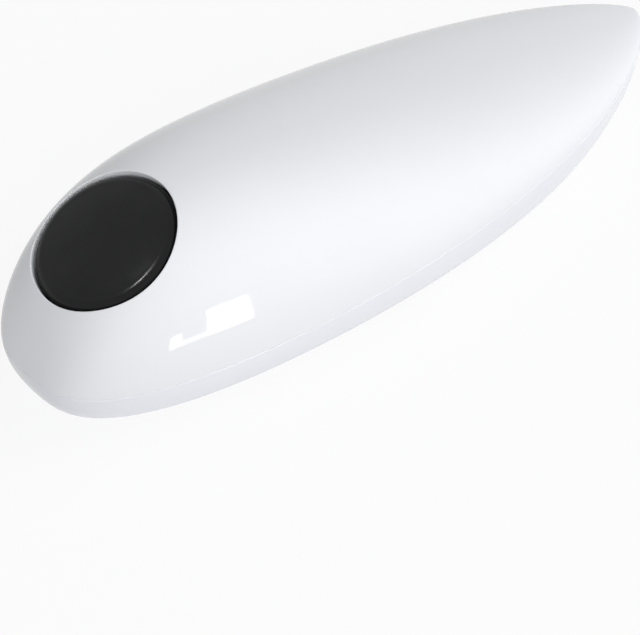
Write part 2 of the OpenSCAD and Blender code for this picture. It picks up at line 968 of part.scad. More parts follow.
module motor_end_cap() {
    color([0.88, 0.88, 0.86])
        along_motor(motor_back)
            difference() {
                union() {
                    motor_section(motor_w, motor_h, 2.5);
                    translate([0, 0, 2])
                        motor_section(motor_w - 1.7, motor_h - 1.7, 2);
                }
                translate([0, 0, 0.9])
                    cylinder(r = shaft_r + run_fit, h = 10);
                for (k = [-1, 1])
                    translate([-1.1, 5 * k - 0.25, -1])
                        cube([2.2, 0.5, 8]);
            }
}

module motor_terminals() {
    color([0.8, 0.66, 0.35])
        for (k = [-1, 1])
            translate([motor_back - 2.4, motor_y + 5 * k - 0.25, motor_z - 1.1])
                cube([5.4, 0.5, 2.2]);
}

strap_x = motor_front - 15;
module motor_strap() {
    color([0.76, 0.77, 0.79])
        difference() {
            union() {
                along_motor(strap_x)
                    difference() {
                        motor_section(motor_w + 1.4, motor_h + 1.4, 6);
                        translate([0, 0, -1])
                            motor_section(motor_w, motor_h, 8);
                        translate([motor_h / 2 - 0.2, -20, -1])
                            cube([10, 40, 8]);
                    }
                for (k = [-1, 1])
                    translate([strap_x, motor_y + k * (motor_w / 2 + 2.6) - 3, upper_top])
                        cube([6, 6, 0.8]);
                for (k = [-1, 1])
                    translate([strap_x, motor_y + k * (motor_w / 2 + 0.35) - 0.35, upper_top])
                        cube([6, 0.7, motor_h / 2]);
            }
            for (k = [-1, 1])
                translate([strap_x + 3, motor_y + k * (motor_w / 2 + 3.4), 0])
                    cylinder(r = 1, h = 40);
        }
}

module strap_screws() {
    color([0.7, 0.71, 0.73])
        for (k = [-1, 1])
            translate([strap_x + 3, motor_y + k * (motor_w / 2 + 3.4), upper_top + 0.8])
                screw_down(1, 2, 1.8, 1);
}

// ---------- gearbox plates ----------

module plate_outline() {
    polygon([
        pillars[0], pillars[1], [first_x, first_y], pillars[2],
        [strap_x + 6, motor_y + motor_w / 2 + 5], [strap_x, motor_y + motor_w / 2 + 5],
        pillars[3], [drive_x, 0]
    ]);
    for (p = pillars)
        translate(p)
            circle(r = 4);
    translate([first_x, first_y])
        circle(r = 4);
    translate([drive_x, 0])
        circle(r = 6);
}

module lower_plate() {
    color([0.76, 0.77, 0.79])
        difference() {
            translate([0, 0, floor_z])
                linear_extrude(plate_t)
                    union() {
                        polygon([
                            pillars[0], pillars[1], [first_x, first_y], pillars[2],
                            [second_x, second_y + 4], pillars[3], [drive_x, 0]
                        ]);
                        for (p = pillars)
                            translate(p)
                                circle(r = 4);
                        translate([first_x, first_y])
                            circle(r = 3.5);
                        translate([drive_x, 0])
                            circle(r = 6);
                    }
            translate([drive_x, 0, 0])
                cylinder(r = spindle_bush_r, h = 20);
            for (p = concat([[second_x, second_y], [first_x, first_y]]))
                translate([p[0], p[1], 0])
                    cylinder(r = pin_r, h = 20);
            for (p = pillars)
                translate([p[0], p[1], 0])
                    cylinder(r = 1.2, h = 20);
            translate([guide_spots[2][0], 0, 0])
                cylinder(r = 1.2, h = 20);
        }
}

module upper_plate() {
    color([0.76, 0.77, 0.79])
        difference() {
            translate([0, 0, upper_bot])
                linear_extrude(plate_t)
                    plate_outline();
            translate([drive_x, 0, 0])
                cylinder(r = 1.8 + run_fit, h = 40);
            translate([second_x, second_y, 0])
                cylinder(r = pin_r, h = 40);
            translate([first_x, first_y, 0])
                cylinder(r = pin_r + 1.8, h = 40);
            for (p = pillars)
                translate([p[0], p[1], 0])
                    cylinder(r = 1.2, h = 40);
            for (k = [-1, 1])
                translate([strap_x + 3, motor_y + k * (motor_w / 2 + 3.4), 0])
                    cylinder(r = 1, h = 40);
        }
}

module plate_pillars() {
    color([0.78, 0.79, 0.81])
        for (p = pillars)
            translate([p[0], p[1], lower_top])
                difference() {
                    cylinder(r = pillar_r, h = upper_bot - lower_top);
                    translate([0, 0, -1])
                        cylinder(r = 1.2, h = 20);
                }
}

module lower_plate_screws() {
    color([0.7, 0.71, 0.73])
        for (p = pillars)
            translate([p[0], p[1], base_z + 1.1])
                screw_up(1.2, 6, 2.2, 1);
}

module upper_plate_screws() {
    color([0.7, 0.71, 0.73])
        for (p = pillars)
            translate([p[0], p[1], upper_top])
                screw_down(1.2, 4, 1.8, 1);
}

// ---------- button and switch ----------

flange_s = -5.6;
module button_cap() {
    color([0.06, 0.06, 0.07])
        at_button()
            difference() {
                rotate_extrude($fn = 96)
                    polygon([
                        [0, 2.05], [5, 1.94], [9, 1.67], [12.3, 1.3], [button_r - 1, 0.95],
                        [button_r - 0.35, 0.62], [button_r, -0.05], [button_r, flange_s],
                        [button_r + 1.2, flange_s], [button_r + 1.2, flange_s - 1.2],
                        [button_r - 1.8, flange_s - 1.2], [button_r - 1.8, -2.1],
                        [3, -1.5], [3, -8], [0, -8]
                    ]);
                translate([0, 0, -20])
                    cylinder(r = 0.8, h = 14);
            }
}

module button_spring() {
    color([0.7, 0.71, 0.73])
        at_button()
            coil(4.6, spring_wire / 2, switch_seat + spring_wire / 2, -2.2 - spring_wire / 2, 5);
}
switch_seat = -10.5;

module switch_body() {
    color([0.12, 0.12, 0.13])
        at_button()
            difference() {
                translate([-switch_size[0] / 2, -switch_size[1] / 2, switch_bot])
                    cube(switch_size);
                translate([0, 0, switch_top - 4.2])
                    cylinder(r = 1.5 + slide_gap, h = 10);
                for (k = [-1, 1])
                    translate([-5, 4.6 * k, switch_bot + 1.6])
                        rotate([0, 90, 0])
                            cylinder(r = 0.9, h = 10);
                for (k = [-1, 1])
                    translate([switch_size[0] / 2 - 2, 3.2 * k - 0.3, switch_bot + 2.4])
                        cube([4, 0.6, 2]);
            }
}

module switch_plunger() {
    color([0.75, 0.15, 0.12])
        at_button()
            translate([0, 0, -8.05 - 4.5])
                cylinder(r = 1.5, h = 4.5);
}

module switch_terminals() {
    color([0.8, 0.66, 0.35])
        at_button()
            for (k = [-1, 1])
                translate([switch_size[0] / 2 - 2, 3.2 * k - 0.3, switch_bot + 2.4])
                    cube([4, 0.6, 2]);
}

module switch_bracket() {
    color([0.2, 0.2, 0.22])
        difference() {
            union() {
                at_button() {
                    translate([-4.4, -15.5, switch_bot - 1.8])
                        cube([8.8, 31, 1.8]);
                    // spring seat around the plunger, on four legs
                    translate([-2.9, -8.4, switch_seat - 0.4])
                        cube([5.8, 16.8, 0.4]);
                    for (k = [-1, 1])
                        translate([-2.9, 6.5 * k + (k < 0 ? -1.9 : 0), switch_bot - 0.5])
                            cube([5.8, 1.9, switch_seat - switch_bot + 0.4]);
                }
                for (k = [-1, 1])
                    translate([bracket_x - 3, 14.6 * k - 1, floor_z])
                        cube([6, 2, 7.4]);
                for (k = [-1, 1])
                    translate([bracket_x - 3, 17.1 * k - 2.5, floor_z])
                        cube([6, 5, 1.4]);
            }
            at_button()
                translate([0, 0, -20])
                    cylinder(r = 2.2, h = 12);
            for (k = [-1, 1])
                translate([bracket_x, 18 * k, 0])
                    cylinder(r = 1, h = 30);
        }
}

module bracket_screws() {
    color([0.7, 0.71, 0.73])
        for (k = [-1, 1])
            translate([bracket_x, 18 * k, floor_z + 1.4])
                screw_down(1, 2.6, 1.8, 1);
}

// ---------- magnet ----------

module magnet_holder() {
    color([0.16, 0.16, 0.17])
        translate([magnet_x, 0, 0])
            difference() {
                translate([0, 0, 0.4])
                    cylinder(r = magnet_r + 0.9, h = base_z - 0.4);
                cylinder(r = magnet_r, h = 2.6);
                translate([0, 0, 3])
                    cylinder(r = 1.2, h = 5);
            }
}

module magnet() {
    color([0.35, 0.35, 0.37])
        translate([magnet_x, 0, 0])
            cylinder(r = magnet_r, h = 2.6);
}

module magnet_screw() {
    color([0.7, 0.71, 0.73])
        translate([magnet_x, 0, floor_z - 1.2])
            screw_down(1.2, 3.6, 2.3, 1.1);
}

// ---------- batteries ----------

module cell() {
    rotate([0, 90, 0])
        union() {
            cylinder(r = cell_r, h = cell_l - 1.2);
            cylinder(r = 2.7, h = cell_l);
        }
}

module battery_left() {
    color([0.2, 0.22, 0.25])
        translate([cell_x + 2.5, cell_y, cell_z])
            cell();
}

module battery_right() {
    color([0.2, 0.22, 0.25])
        translate([cell_x + cell_l, -cell_y, cell_z])
            mirror([1, 0, 0])
                cell();
}

module battery_cradle() {
    top = cell_z + 3.4;
    color([0.22, 0.22, 0.24])
        difference() {
            translate([cell_x - 2, -16.2, frame_top])
                cube([pack_l + 4, 32.4, top - frame_top]);
            translate([cell_x - 0.55, -14.8, 0])
                cube([pack_l + 1.1, 29.6, cell_z]);
            for (k = [-1, 1])
                translate([cell_x - 0.55, cell_y * k, cell_z])
                    rotate([0, 90, 0])
                        cylinder(r = cell_r + 0.15, h = pack_l + 1.1);
            for (k = [-1, 1])
                translate([cell_x - 0.55, cell_y * k - 4, cell_z - 2])
                    cube([pack_l + 1.1, 8, 20]);
            translate([cell_x + pack_l, -11.3, 0])
                cube([0.56, 22.6, 40]);
        }
}

module front_contact(y) {
    translate([cell_x - 0.55, y - 3.8, frame_top + 0.6]) {
        cube([0.5, 7.6, cell_z + 3.4 - frame_top - 0.6]);
        translate([0, 2.2, cell_z - frame_top])
            cube([0.5, 3.2, 4.6]);
    }
}

module positive_contact() {
    color([0.8, 0.81, 0.83])
        union() {
            front_contact(-cell_y);
        }
}

module negative_contact() {
    color([0.8, 0.81, 0.83])
        union() {
            front_contact(cell_y);
        }
}

module bridge_contact() {
    color([0.8, 0.81, 0.83])
        translate([cell_x + pack_l + 0.05, -11.2, frame_top + 0.6])
            cube([0.5, 22.4, cell_z + 3 - frame_top - 0.6]);
}

module contact_springs() {
    color([0.75, 0.76, 0.78]) {
        translate([cell_x + 0.25, cell_y, cell_z])
            rotate([0, 90, 0])
                coil(4, 0.3, 0, 1.94, 3);
        translate([cell_x + cell_l + 0.31, -cell_y, cell_z])
            rotate([0, 90, 0])
                coil(4, 0.3, 0, 1.9, 3);
    }
}

// ---------- leads ----------

side = body_w / 65;
cell_end = [cell_x - 1.3, cell_y, cell_z + 4.4];
switch_end = [bracket_x + 6.9, 4, button_h - 12];
motor_end = [motor_back - 0.94, motor_y, motor_z];

module lead_battery_switch() {
    color([0.7, 0.1, 0.1])
        wire(smooth_path([
            [cell_end[0], -cell_end[1], cell_end[2]],
            [cell_x - 3, -10, 20], [cell_x - 5, -15, 19.8], [cell_x - 9, -19.2 * side, 19.8],
            [cell_x - 18, -21.8 * side, 19.8], [cell_x - 30, -25.6 * side, 20.1],
            [cell_x - 44, -25 * side, 20.1], [cell_x - 52, -15, 21], [cell_x - 55, -7, 21.5],
            [switch_end[0], -switch_end[1], switch_end[2]]
        ], 3), 0.7);
}

module lead_switch_motor() {
    color([0.1, 0.1, 0.1])
        wire(smooth_path([
            switch_end,
            switch_end + [2.3, 0.6, 1.4],
            switch_end + [3.7, 1, 3.4],
            motor_end + [-1.6, -3.85, -0.2],
            motor_end + [0, -4, 0]
        ], 3), 0.7);
}

module lead_battery_motor() {
    color([0.1, 0.1, 0.1])
        wire(smooth_path([
            cell_end,
            [cell_x - 3, 10, 20], [cell_x - 5, 15, 19.8], [cell_x - 9, 19.4 * side, 20],
            [cell_x - 18, 22 * side, 20.6], [cell_x - 28, 26.4 * side, 21.4],
            [cell_x - 42, 26.4 * side, 21.8], [cell_x - 49.5, 22, 23.8],
            motor_end + [-2, 7.5, -0.8],
            motor_end + [0, 6, 0]
        ], 3), 0.7);
}

top_cover();
bottom_cover();
battery_door();
casing_screws();
guide_plate();
guide_screws();
spindle_bush();
carriage_bush();
cutter_carriage();
carriage_ring();
cutter_wheel();
cutter_screw();
cutter_washer();
clutch_gear();
clutch_washer();
clutch_ring();
drive_spindle();
drive_wheel();
drive_screw();
spindle_pinion();
output_gear();
second_gear();
second_gear_pin();
first_gear();
first_gear_pin();
worm();
motor_shaft();
motor_armature();
motor_magnets();
motor_can();
motor_end_cap();
motor_terminals();
motor_strap();
strap_screws();
lower_plate();
upper_plate();
plate_pillars();
lower_plate_screws();
upper_plate_screws();
button_cap();
button_spring();
switch_body();
switch_plunger();
switch_bracket();
bracket_screws();
switch_terminals();
magnet();
magnet_holder();
magnet_screw();
battery_left();
battery_right();
battery_cradle();
positive_contact();
negative_contact();
bridge_contact();
contact_springs();
lead_battery_switch();
lead_switch_motor();
lead_battery_motor();
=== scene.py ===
import json
import math

import bmesh
import bpy
import numpy as np
from mathutils import Matrix, Vector

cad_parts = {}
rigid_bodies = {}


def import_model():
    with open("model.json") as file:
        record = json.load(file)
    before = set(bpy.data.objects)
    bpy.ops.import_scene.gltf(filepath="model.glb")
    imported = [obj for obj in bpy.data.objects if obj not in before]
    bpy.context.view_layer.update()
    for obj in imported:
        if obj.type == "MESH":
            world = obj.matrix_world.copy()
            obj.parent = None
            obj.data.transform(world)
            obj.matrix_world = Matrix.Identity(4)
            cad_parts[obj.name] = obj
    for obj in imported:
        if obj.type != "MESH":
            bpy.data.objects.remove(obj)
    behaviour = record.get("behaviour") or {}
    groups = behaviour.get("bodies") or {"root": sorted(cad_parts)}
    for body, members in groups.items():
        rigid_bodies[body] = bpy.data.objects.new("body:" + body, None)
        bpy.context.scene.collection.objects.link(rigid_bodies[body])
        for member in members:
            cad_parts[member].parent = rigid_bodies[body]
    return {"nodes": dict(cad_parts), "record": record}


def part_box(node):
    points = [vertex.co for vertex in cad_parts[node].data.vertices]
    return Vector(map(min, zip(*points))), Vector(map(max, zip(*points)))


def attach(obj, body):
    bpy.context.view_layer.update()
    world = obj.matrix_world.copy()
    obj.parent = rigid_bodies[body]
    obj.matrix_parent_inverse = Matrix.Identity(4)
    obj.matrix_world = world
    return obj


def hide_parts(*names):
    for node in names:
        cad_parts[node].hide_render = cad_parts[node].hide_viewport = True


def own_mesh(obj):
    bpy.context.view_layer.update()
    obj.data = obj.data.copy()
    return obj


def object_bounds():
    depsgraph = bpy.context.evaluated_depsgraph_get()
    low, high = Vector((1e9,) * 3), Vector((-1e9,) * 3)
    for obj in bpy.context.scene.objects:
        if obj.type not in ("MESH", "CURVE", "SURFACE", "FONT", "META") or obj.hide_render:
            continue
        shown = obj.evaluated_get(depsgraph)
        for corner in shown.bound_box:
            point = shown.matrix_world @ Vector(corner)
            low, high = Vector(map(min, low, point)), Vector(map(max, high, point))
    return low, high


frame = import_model()
nodes = frame["nodes"]
cadBox = [list(corner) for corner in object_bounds()]
mm = 0.001
print("frame loaded,", len(nodes), "nodes")


def newObject(name, data):
    piece = bpy.data.objects.new(name, data)
    bpy.context.scene.collection.objects.link(piece)
    return piece


def makeObject(name, verts, faces, sharp=40):
    # points closer than a micrometre are one; edges over the sharp angle, in degrees, stay crisp
    mesh = bpy.data.meshes.new(name)
    mesh.from_pydata([tuple(v) for v in verts], [], [tuple(f) for f in faces])
    build = bmesh.new()
    build.from_mesh(mesh)
    bmesh.ops.remove_doubles(build, verts=build.verts, dist=1e-6)
    bmesh.ops.dissolve_degenerate(build, edges=build.edges, dist=1e-7)
    bmesh.ops.recalc_face_normals(build, faces=build.faces)
    build.to_mesh(mesh)
    build.free()
    finishShading(mesh, sharp)
    return newObject(name, mesh)


def finishShading(mesh, sharp):
    mesh.shade_smooth()
    mesh.set_sharp_from_angle(angle=math.radians(sharp))


def combine(piece, cutter, operation="DIFFERENCE"):
    step = piece.modifiers.new("combine", "BOOLEAN")
    step.operation = operation
    step.solver = "EXACT"
    step.object = cutter
    graph = bpy.context.evaluated_depsgraph_get()
    result = bpy.data.meshes.new_from_object(piece.evaluated_get(graph))
    piece.modifiers.clear()
    old = piece.data
    piece.data = result
    bpy.data.meshes.remove(old)
    bpy.data.objects.remove(cutter)


def mergeMeshes(parts):
    verts, faces = [], []
    for v, f in parts:
        start = len(verts)
        verts.extend(v)
        faces.extend([[i + start for i in face] for face in f])
    return verts, faces


def bandFaces(rings, around, closed=False):
    # quads between rings of equally many points; closed joins the last ring to the first
    faces = []
    for a in range(rings if closed else rings - 1):
        b = (a + 1) % rings
        for i in range(around):
            j = (i + 1) % around
            faces.append((a * around + i, a * around + j, b * around + j, b * around + i))
    return faces


upright = (Vector((1, 0, 0)), Vector((0, 1, 0)), Vector((0, 0, 1)))


def lathe(profile, centre, axes=upright, around=96, closed=False):
    # profile is (radius, height) pairs in millimetres; closed for a ring, open between two ends on the axis
    side, cross, along = axes
    verts = []
    for r, s in profile:
        for i in range(around):
            a = 2 * math.pi * i / around
            verts.append(centre + mm * (side * (r * math.cos(a)) + cross * (r * math.sin(a)) + along * s))
    return verts, bandFaces(len(profile), around, closed)


def softProfile(corners, radius, steps=4):
    # rounds the corners of a (radius, height) profile; ends stay as they are
    out = [corners[0]]
    for before, corner, after in zip(corners, corners[1:], corners[2:]):
        p, c, q = (Vector(v[:2]) for v in (before, corner, after))
        r = corner[2] if len(corner) > 2 else radius
        r = min(r, (p - c).length * 0.45, (q - c).length * 0.45)
        start, end = c + (p - c).normalized() * r, c + (q - c).normalized() * r
        for k in range(steps + 1):
            t = k / steps
            out.append(tuple(start * (1 - t) ** 2 + c * (2 * t * (1 - t)) + end * t ** 2))
    out.append(corners[-1][:2])
    return out


def boxMesh(low, high):
    x0, y0, z0 = low
    x1, y1, z1 = high
    verts = [(x, y, z) for x in (x0, x1) for y in (y0, y1) for z in (z0, z1)]
    faces = [(0, 1, 3, 2), (4, 6, 7, 5), (0, 4, 5, 1), (2, 3, 7, 6), (0, 2, 6, 4), (1, 5, 7, 3)]
    return [Vector(v) * mm for v in verts], faces


def centreOf(node):
    low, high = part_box(node)
    return (low + high) / 2


def place(piece, body, slot, *replaced):
    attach(piece, body)
    if replaced:
        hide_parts(*replaced)
    piece.data.materials.clear()
    piece.data.materials.append(finishes[slot])
    return piece


def nodeAt(tree, kind, **inputs):
    node = tree.nodes.new(kind)
    for key, value in inputs.items():
        setattr(node, key, value)
    return node


def setInputs(node, values):
    for key, value in values.items():
        node.inputs[key].default_value = value


def link(source, node, key):
    node.id_data.links.new(source, node.inputs[key])


def newMaterial(name):
    material = bpy.data.materials.new(name)
    material.use_nodes = True
    tree = material.node_tree
    shader = tree.nodes["Principled BSDF"]
    where = nodeAt(tree, "ShaderNodeTexCoord")
    return material, tree, shader, where


def noiseOf(tree, where, scale, detail=3.0, rough=0.55, stretch=(1, 1, 1)):
    mapping, noise = nodeAt(tree, "ShaderNodeMapping"), nodeAt(tree, "ShaderNodeTexNoise")
    setInputs(mapping, {"Scale": stretch})
    setInputs(noise, {"Scale": scale, "Detail": detail, "Roughness": rough})
    link(where.outputs["Object"], mapping, "Vector")
    link(mapping.outputs["Vector"], noise, "Vector")
    return noise


def spread(tree, source, low, high, start=0.35, end=0.65):
    span = nodeAt(tree, "ShaderNodeMapRange")
    setInputs(span, {"From Min": start, "From Max": end, "To Min": low, "To Max": high})
    link(source, span, "Value")
    return span.outputs["Result"]


def blendColour(tree, amount, first, second):
    mix = nodeAt(tree, "ShaderNodeMix", data_type="RGBA")
    setInputs(mix, {6: (*first, 1), 7: (*second, 1)})
    link(amount, mix, 0)
    return mix.outputs[2]


def makeFinish(name, look):
    # colour and shade lie in clouds, roughness runs between two values; cloud, grain, ripple, smear and the depths
    # are in millimetres, and stretch draws the grain out along the axis with the small number
    material, tree, shader, where = newMaterial(name)
    stretch = look.get("stretch", (1, 1, 1))
    setInputs(shader, {"Metallic": look.get("metal", 0), "IOR": 1.46, "Specular IOR Level": look.get("specular", 0.5),
                       "Coat Weight": look.get("coat", 0), "Coat Roughness": 0.05,
                       "Subsurface Weight": look.get("soft", 0), "Subsurface Radius": (0.002, 0.0018, 0.0016)})
    if look.get("soft"):
        setInputs(shader, {"Subsurface Scale": 0.5})
    cloud = noiseOf(tree, where, 1 / (mm * look["cloud"]), 4)
    tint = blendColour(tree, spread(tree, cloud.outputs["Fac"], 0, 1), look["colour"], look["shade"])
    grain = noiseOf(tree, where, 1 / (mm * look["grain"]), 3, 0.6, stretch)
    if look.get("wear"):
        # edges rubbed to another tone
        edge = nodeAt(tree, "ShaderNodeNewGeometry")
        worn = spread(tree, edge.outputs["Pointiness"], 0, look["wear"], 0.52, 0.6)
        mix = nodeAt(tree, "ShaderNodeMix", data_type="RGBA")
        link(worn, mix, 0)
        link(tint, mix, 6)
        mix.inputs[7].default_value = (*look["worn"], 1)
        tint = mix.outputs[2]
    link(tint, shader, "Base Color")
    smear = noiseOf(tree, where, 1 / (mm * look.get("smear", 5)), 5, 0.65, stretch)
    link(spread(tree, smear.outputs["Fac"], *look["rough"]), shader, "Roughness")
    bump = nodeAt(tree, "ShaderNodeBump")
    setInputs(bump, {"Strength": look.get("strength", 0.5), "Distance": look["depth"] * mm})
    link(grain.outputs["Fac"], bump, "Height")
    if look.get("ripple"):
        # slow waviness of a moulded gloss skin
        wave = noiseOf(tree, where, 1 / (mm * look["ripple"]), 1, 0.4)
        slow = nodeAt(tree, "ShaderNodeBump")
        setInputs(slow, {"Strength": 1, "Distance": look["rippleDepth"] * mm})
        link(wave.outputs["Fac"], slow, "Height")
        link(slow.outputs["Normal"], bump, "Normal")
    link(bump.outputs["Normal"], shader, "Normal")
    return material


finishLooks = {
    "casing_white": dict(colour=(0.84, 0.85, 0.875), shade=(0.83, 0.84, 0.87), rough=(0.05, 0.08), cloud=30,
                         grain=0.35, depth=0.002, strength=0.3, ripple=9, rippleDepth=0.006, smear=14),
    "pan_white": dict(colour=(0.82, 0.83, 0.87), shade=(0.805, 0.815, 0.86), rough=(0.16, 0.24), cloud=25,
                      grain=0.3, depth=0.004, strength=0.4, ripple=8, rippleDepth=0.006, smear=10),
    "button_black": dict(colour=(0.005, 0.005, 0.0053), shade=(0.008, 0.008, 0.0083), rough=(0.14, 0.2), cloud=8,
                         specular=0.2, grain=0.14, depth=0.012, strength=0.5, smear=6, wear=0.2,
                         worn=(0.02, 0.02, 0.021)),
    "black_plastic": dict(colour=(0.03, 0.03, 0.032), shade=(0.04, 0.04, 0.042), rough=(0.4, 0.52), cloud=6,
                          grain=0.16, depth=0.02, strength=0.6, wear=0.3, worn=(0.08, 0.08, 0.085)),
    "red_plastic": dict(colour=(0.5, 0.04, 0.03), shade=(0.44, 0.03, 0.025), rough=(0.32, 0.42), cloud=5,
                        grain=0.15, depth=0.01),
    "cream_plastic": dict(colour=(0.72, 0.68, 0.56), shade=(0.68, 0.64, 0.52), rough=(0.35, 0.46), cloud=6,
                          grain=0.18, depth=0.012),
    "gear_plastic": dict(colour=(0.76, 0.74, 0.66), shade=(0.72, 0.7, 0.61), rough=(0.34, 0.46), cloud=5,
                         grain=0.12, depth=0.01, soft=0.1, wear=0.2, worn=(0.62, 0.6, 0.52)),
    "plate_steel": dict(colour=(0.62, 0.625, 0.635), shade=(0.55, 0.555, 0.57), metal=1, rough=(0.24, 0.4), cloud=9,
                        grain=0.5, depth=0.006, stretch=(0.06, 1, 1), smear=2.5, wear=0.6, worn=(0.78, 0.78, 0.8)),
    "gear_steel": dict(colour=(0.46, 0.465, 0.475), shade=(0.38, 0.385, 0.395), metal=1, rough=(0.3, 0.46), cloud=4,
                       grain=0.18, depth=0.012, smear=2, wear=0.6, worn=(0.7, 0.7, 0.71)),
    "motor_steel": dict(colour=(0.6, 0.61, 0.63), shade=(0.52, 0.53, 0.55), metal=1, rough=(0.2, 0.34), cloud=7,
                        grain=0.4, depth=0.004, stretch=(1, 0.08, 1), smear=3),
    "tool_steel": dict(colour=(0.5, 0.505, 0.52), shade=(0.4, 0.405, 0.42), metal=1, rough=(0.18, 0.34), cloud=3,
                       grain=0.25, depth=0.006, stretch=(1, 1, 0.1), smear=1.5, wear=0.7, worn=(0.8, 0.8, 0.82)),
    "shaft_steel": dict(colour=(0.58, 0.585, 0.6), shade=(0.5, 0.505, 0.52), metal=1, rough=(0.12, 0.24), cloud=3,
                        grain=0.3, depth=0.003, stretch=(1, 1, 0.08), smear=2),
    "screw_steel": dict(colour=(0.6, 0.6, 0.61), shade=(0.48, 0.48, 0.5), metal=1, rough=(0.22, 0.38), cloud=1.5,
                        grain=0.2, depth=0.006, smear=1.2, wear=0.6, worn=(0.8, 0.8, 0.8)),
    "spring_steel": dict(colour=(0.5, 0.505, 0.52), shade=(0.42, 0.425, 0.44), metal=1, rough=(0.16, 0.3), cloud=2,
                         grain=0.2, depth=0.003, smear=2),
    "sinter_bronze": dict(colour=(0.5, 0.35, 0.18), shade=(0.4, 0.27, 0.13), metal=1, rough=(0.3, 0.48), cloud=2,
                          grain=0.18, depth=0.02, strength=0.7, smear=1.5),
    "brass": dict(colour=(0.72, 0.56, 0.26), shade=(0.62, 0.46, 0.2), metal=1, rough=(0.2, 0.34), cloud=3,
                  grain=0.3, depth=0.004, stretch=(0.1, 1, 1), smear=2),
    "nickel_strip": dict(colour=(0.66, 0.64, 0.6), shade=(0.58, 0.56, 0.52), metal=1, rough=(0.18, 0.3), cloud=3,
                         grain=0.3, depth=0.004, stretch=(1, 0.1, 1), smear=2),
    "magnet_grey": dict(colour=(0.5, 0.505, 0.515), shade=(0.42, 0.425, 0.435), metal=1, rough=(0.26, 0.44), cloud=4,
                        grain=0.22, depth=0.008, smear=2, wear=0.6, worn=(0.7, 0.7, 0.71)),
    "armature_copper": dict(colour=(0.55, 0.27, 0.12), shade=(0.42, 0.18, 0.08), metal=1, rough=(0.22, 0.36), cloud=2,
                            grain=0.6, depth=0.1, strength=0.9, stretch=(0.05, 1, 1), smear=2),
    "cell_jacket": dict(colour=(0.1, 0.12, 0.15), shade=(0.085, 0.1, 0.13), rough=(0.18, 0.3), cloud=10, coat=0.4,
                        grain=0.25, depth=0.004, smear=6),
    "red_lead": dict(colour=(0.45, 0.03, 0.025), shade=(0.38, 0.025, 0.02), rough=(0.35, 0.5), cloud=3,
                     grain=0.2, depth=0.01),
    "black_lead": dict(colour=(0.025, 0.025, 0.027), shade=(0.035, 0.035, 0.037), rough=(0.35, 0.5), cloud=3,
                       grain=0.2, depth=0.01),
}
finishes = {name: makeFinish(name + "_finish", look) for name, look in finishLooks.items()}
print("materials made:", len(finishes))


coverLow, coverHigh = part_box("top_cover")
shell = {
    "noseX": coverLow.x / mm,
    "length": (coverHigh.x - coverLow.x) / mm,
    "halfWidth": 32.5,
    "plan": (2.3, 3.1, 3.1, 1.48),   # powers of the outline seen from above, nose then tail
    "widestAt": 0.46,
    "domeHeight": 27.4,
    "dome": (6.9, 1.155, 0.45, 1.15),   # the same for the ridge seen from the side
    "highestAt": 0.21,
    "base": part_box("bottom_cover")[0].z / mm,
    "partAtNose": 6.9,
    "partRise": 5.8,
    "tailLift": 5.1,
    "liftFrom": 0.65,   # share of the length where the underside starts to rise
    "roundness": 2.25,
    "wall": 2,
    "edge": 0.22,   # rounding of both covers where they meet
}
noseX, fullLength = shell["noseX"], shell["length"]
buttonLook = {
    "tilt": 25, "fromNose": 22.3, "height": 27.4,
    "holeRadius": 15.75, "tubeRadius": 17.25, "tubeEnd": -5.5, "holeRounding": 0.35, "travel": 2.5,
}


def swell(u, powers):
    # grows from nothing at the nose and ends at nothing at the tail
    noseIn, noseOut, tailIn, tailOut = powers
    return (1 - (1 - u) ** noseIn) ** (1 / noseOut) * (1 - u ** tailIn) ** (1 / tailOut)


def halfWidth(u, inset=0):
    w = shell["halfWidth"] * swell(u, shell["plan"]) / swell(shell["widestAt"], shell["plan"])
    return w - np.minimum(inset, w / 2)


def rise(u, inset=0):
    h = shell["domeHeight"] * swell(u, shell["dome"]) / swell(shell["highestAt"], shell["dome"])
    return h - np.minimum(inset, h / 2)


def alongX(u, inset=0):
    return noseX + inset + (fullLength - 2 * inset) * u


def partHeight(x):
    return shell["base"] + shell["partAtNose"] + shell["partRise"] * (x - noseX) / fullLength


def baseHeight(x):
    u = (x - noseX) / fullLength
    return shell["base"] + shell["tailLift"] * np.maximum(0, (u - shell["liftFrom"]) / (1 - shell["liftFrom"])) ** 2


def stationOf(v):
    # packs stations towards both ends, where the outline turns fast
    return v ** 3 / (v ** 3 + (1 - v) ** 1.8)


stationTable = np.linspace(0, 1, 4001)
stationValues = stationOf(stationTable)


def skinPoint(v, a, inset=0):
    u = stationOf(v)
    n = shell["roundness"]
    x = alongX(u, inset)
    y = -halfWidth(u, inset) * np.cos(a)
    z = partHeight(x) + rise(u, inset) * np.maximum(0, 1 - np.abs(np.cos(a)) ** n) ** (1 / n)
    return np.stack([x, y, z], -1)


tilt = math.radians(buttonLook["tilt"])
buttonCentre = np.array([noseX + buttonLook["fromNose"], 0, shell["base"] + buttonLook["height"]])
buttonSide = np.array([math.cos(tilt), 0, math.sin(tilt)])
buttonAxis = np.array([-math.sin(tilt), 0, math.cos(tilt)])
buttonFrame = (Vector(buttonSide), Vector((0, 1, 0)), Vector(buttonAxis))
buttonOrigin = Vector(buttonCentre) * mm


def tubePoint(phi, r, s):
    ring = r * (np.cos(phi)[..., None] * buttonSide + np.sin(phi)[..., None] * np.array([0, 1, 0]))
    return buttonCentre + ring + np.asarray(s)[..., None] * buttonAxis


def outsideBy(p, inset):
    u = np.clip((p[..., 0] - noseX - inset) / (fullLength - 2 * inset), 1e-6, 1 - 1e-6)
    lift = np.maximum(0, p[..., 2] - partHeight(p[..., 0]))
    n = shell["roundness"]
    return (np.abs(p[..., 1]) / halfWidth(u, inset)) ** n + (lift / rise(u, inset)) ** n - 1


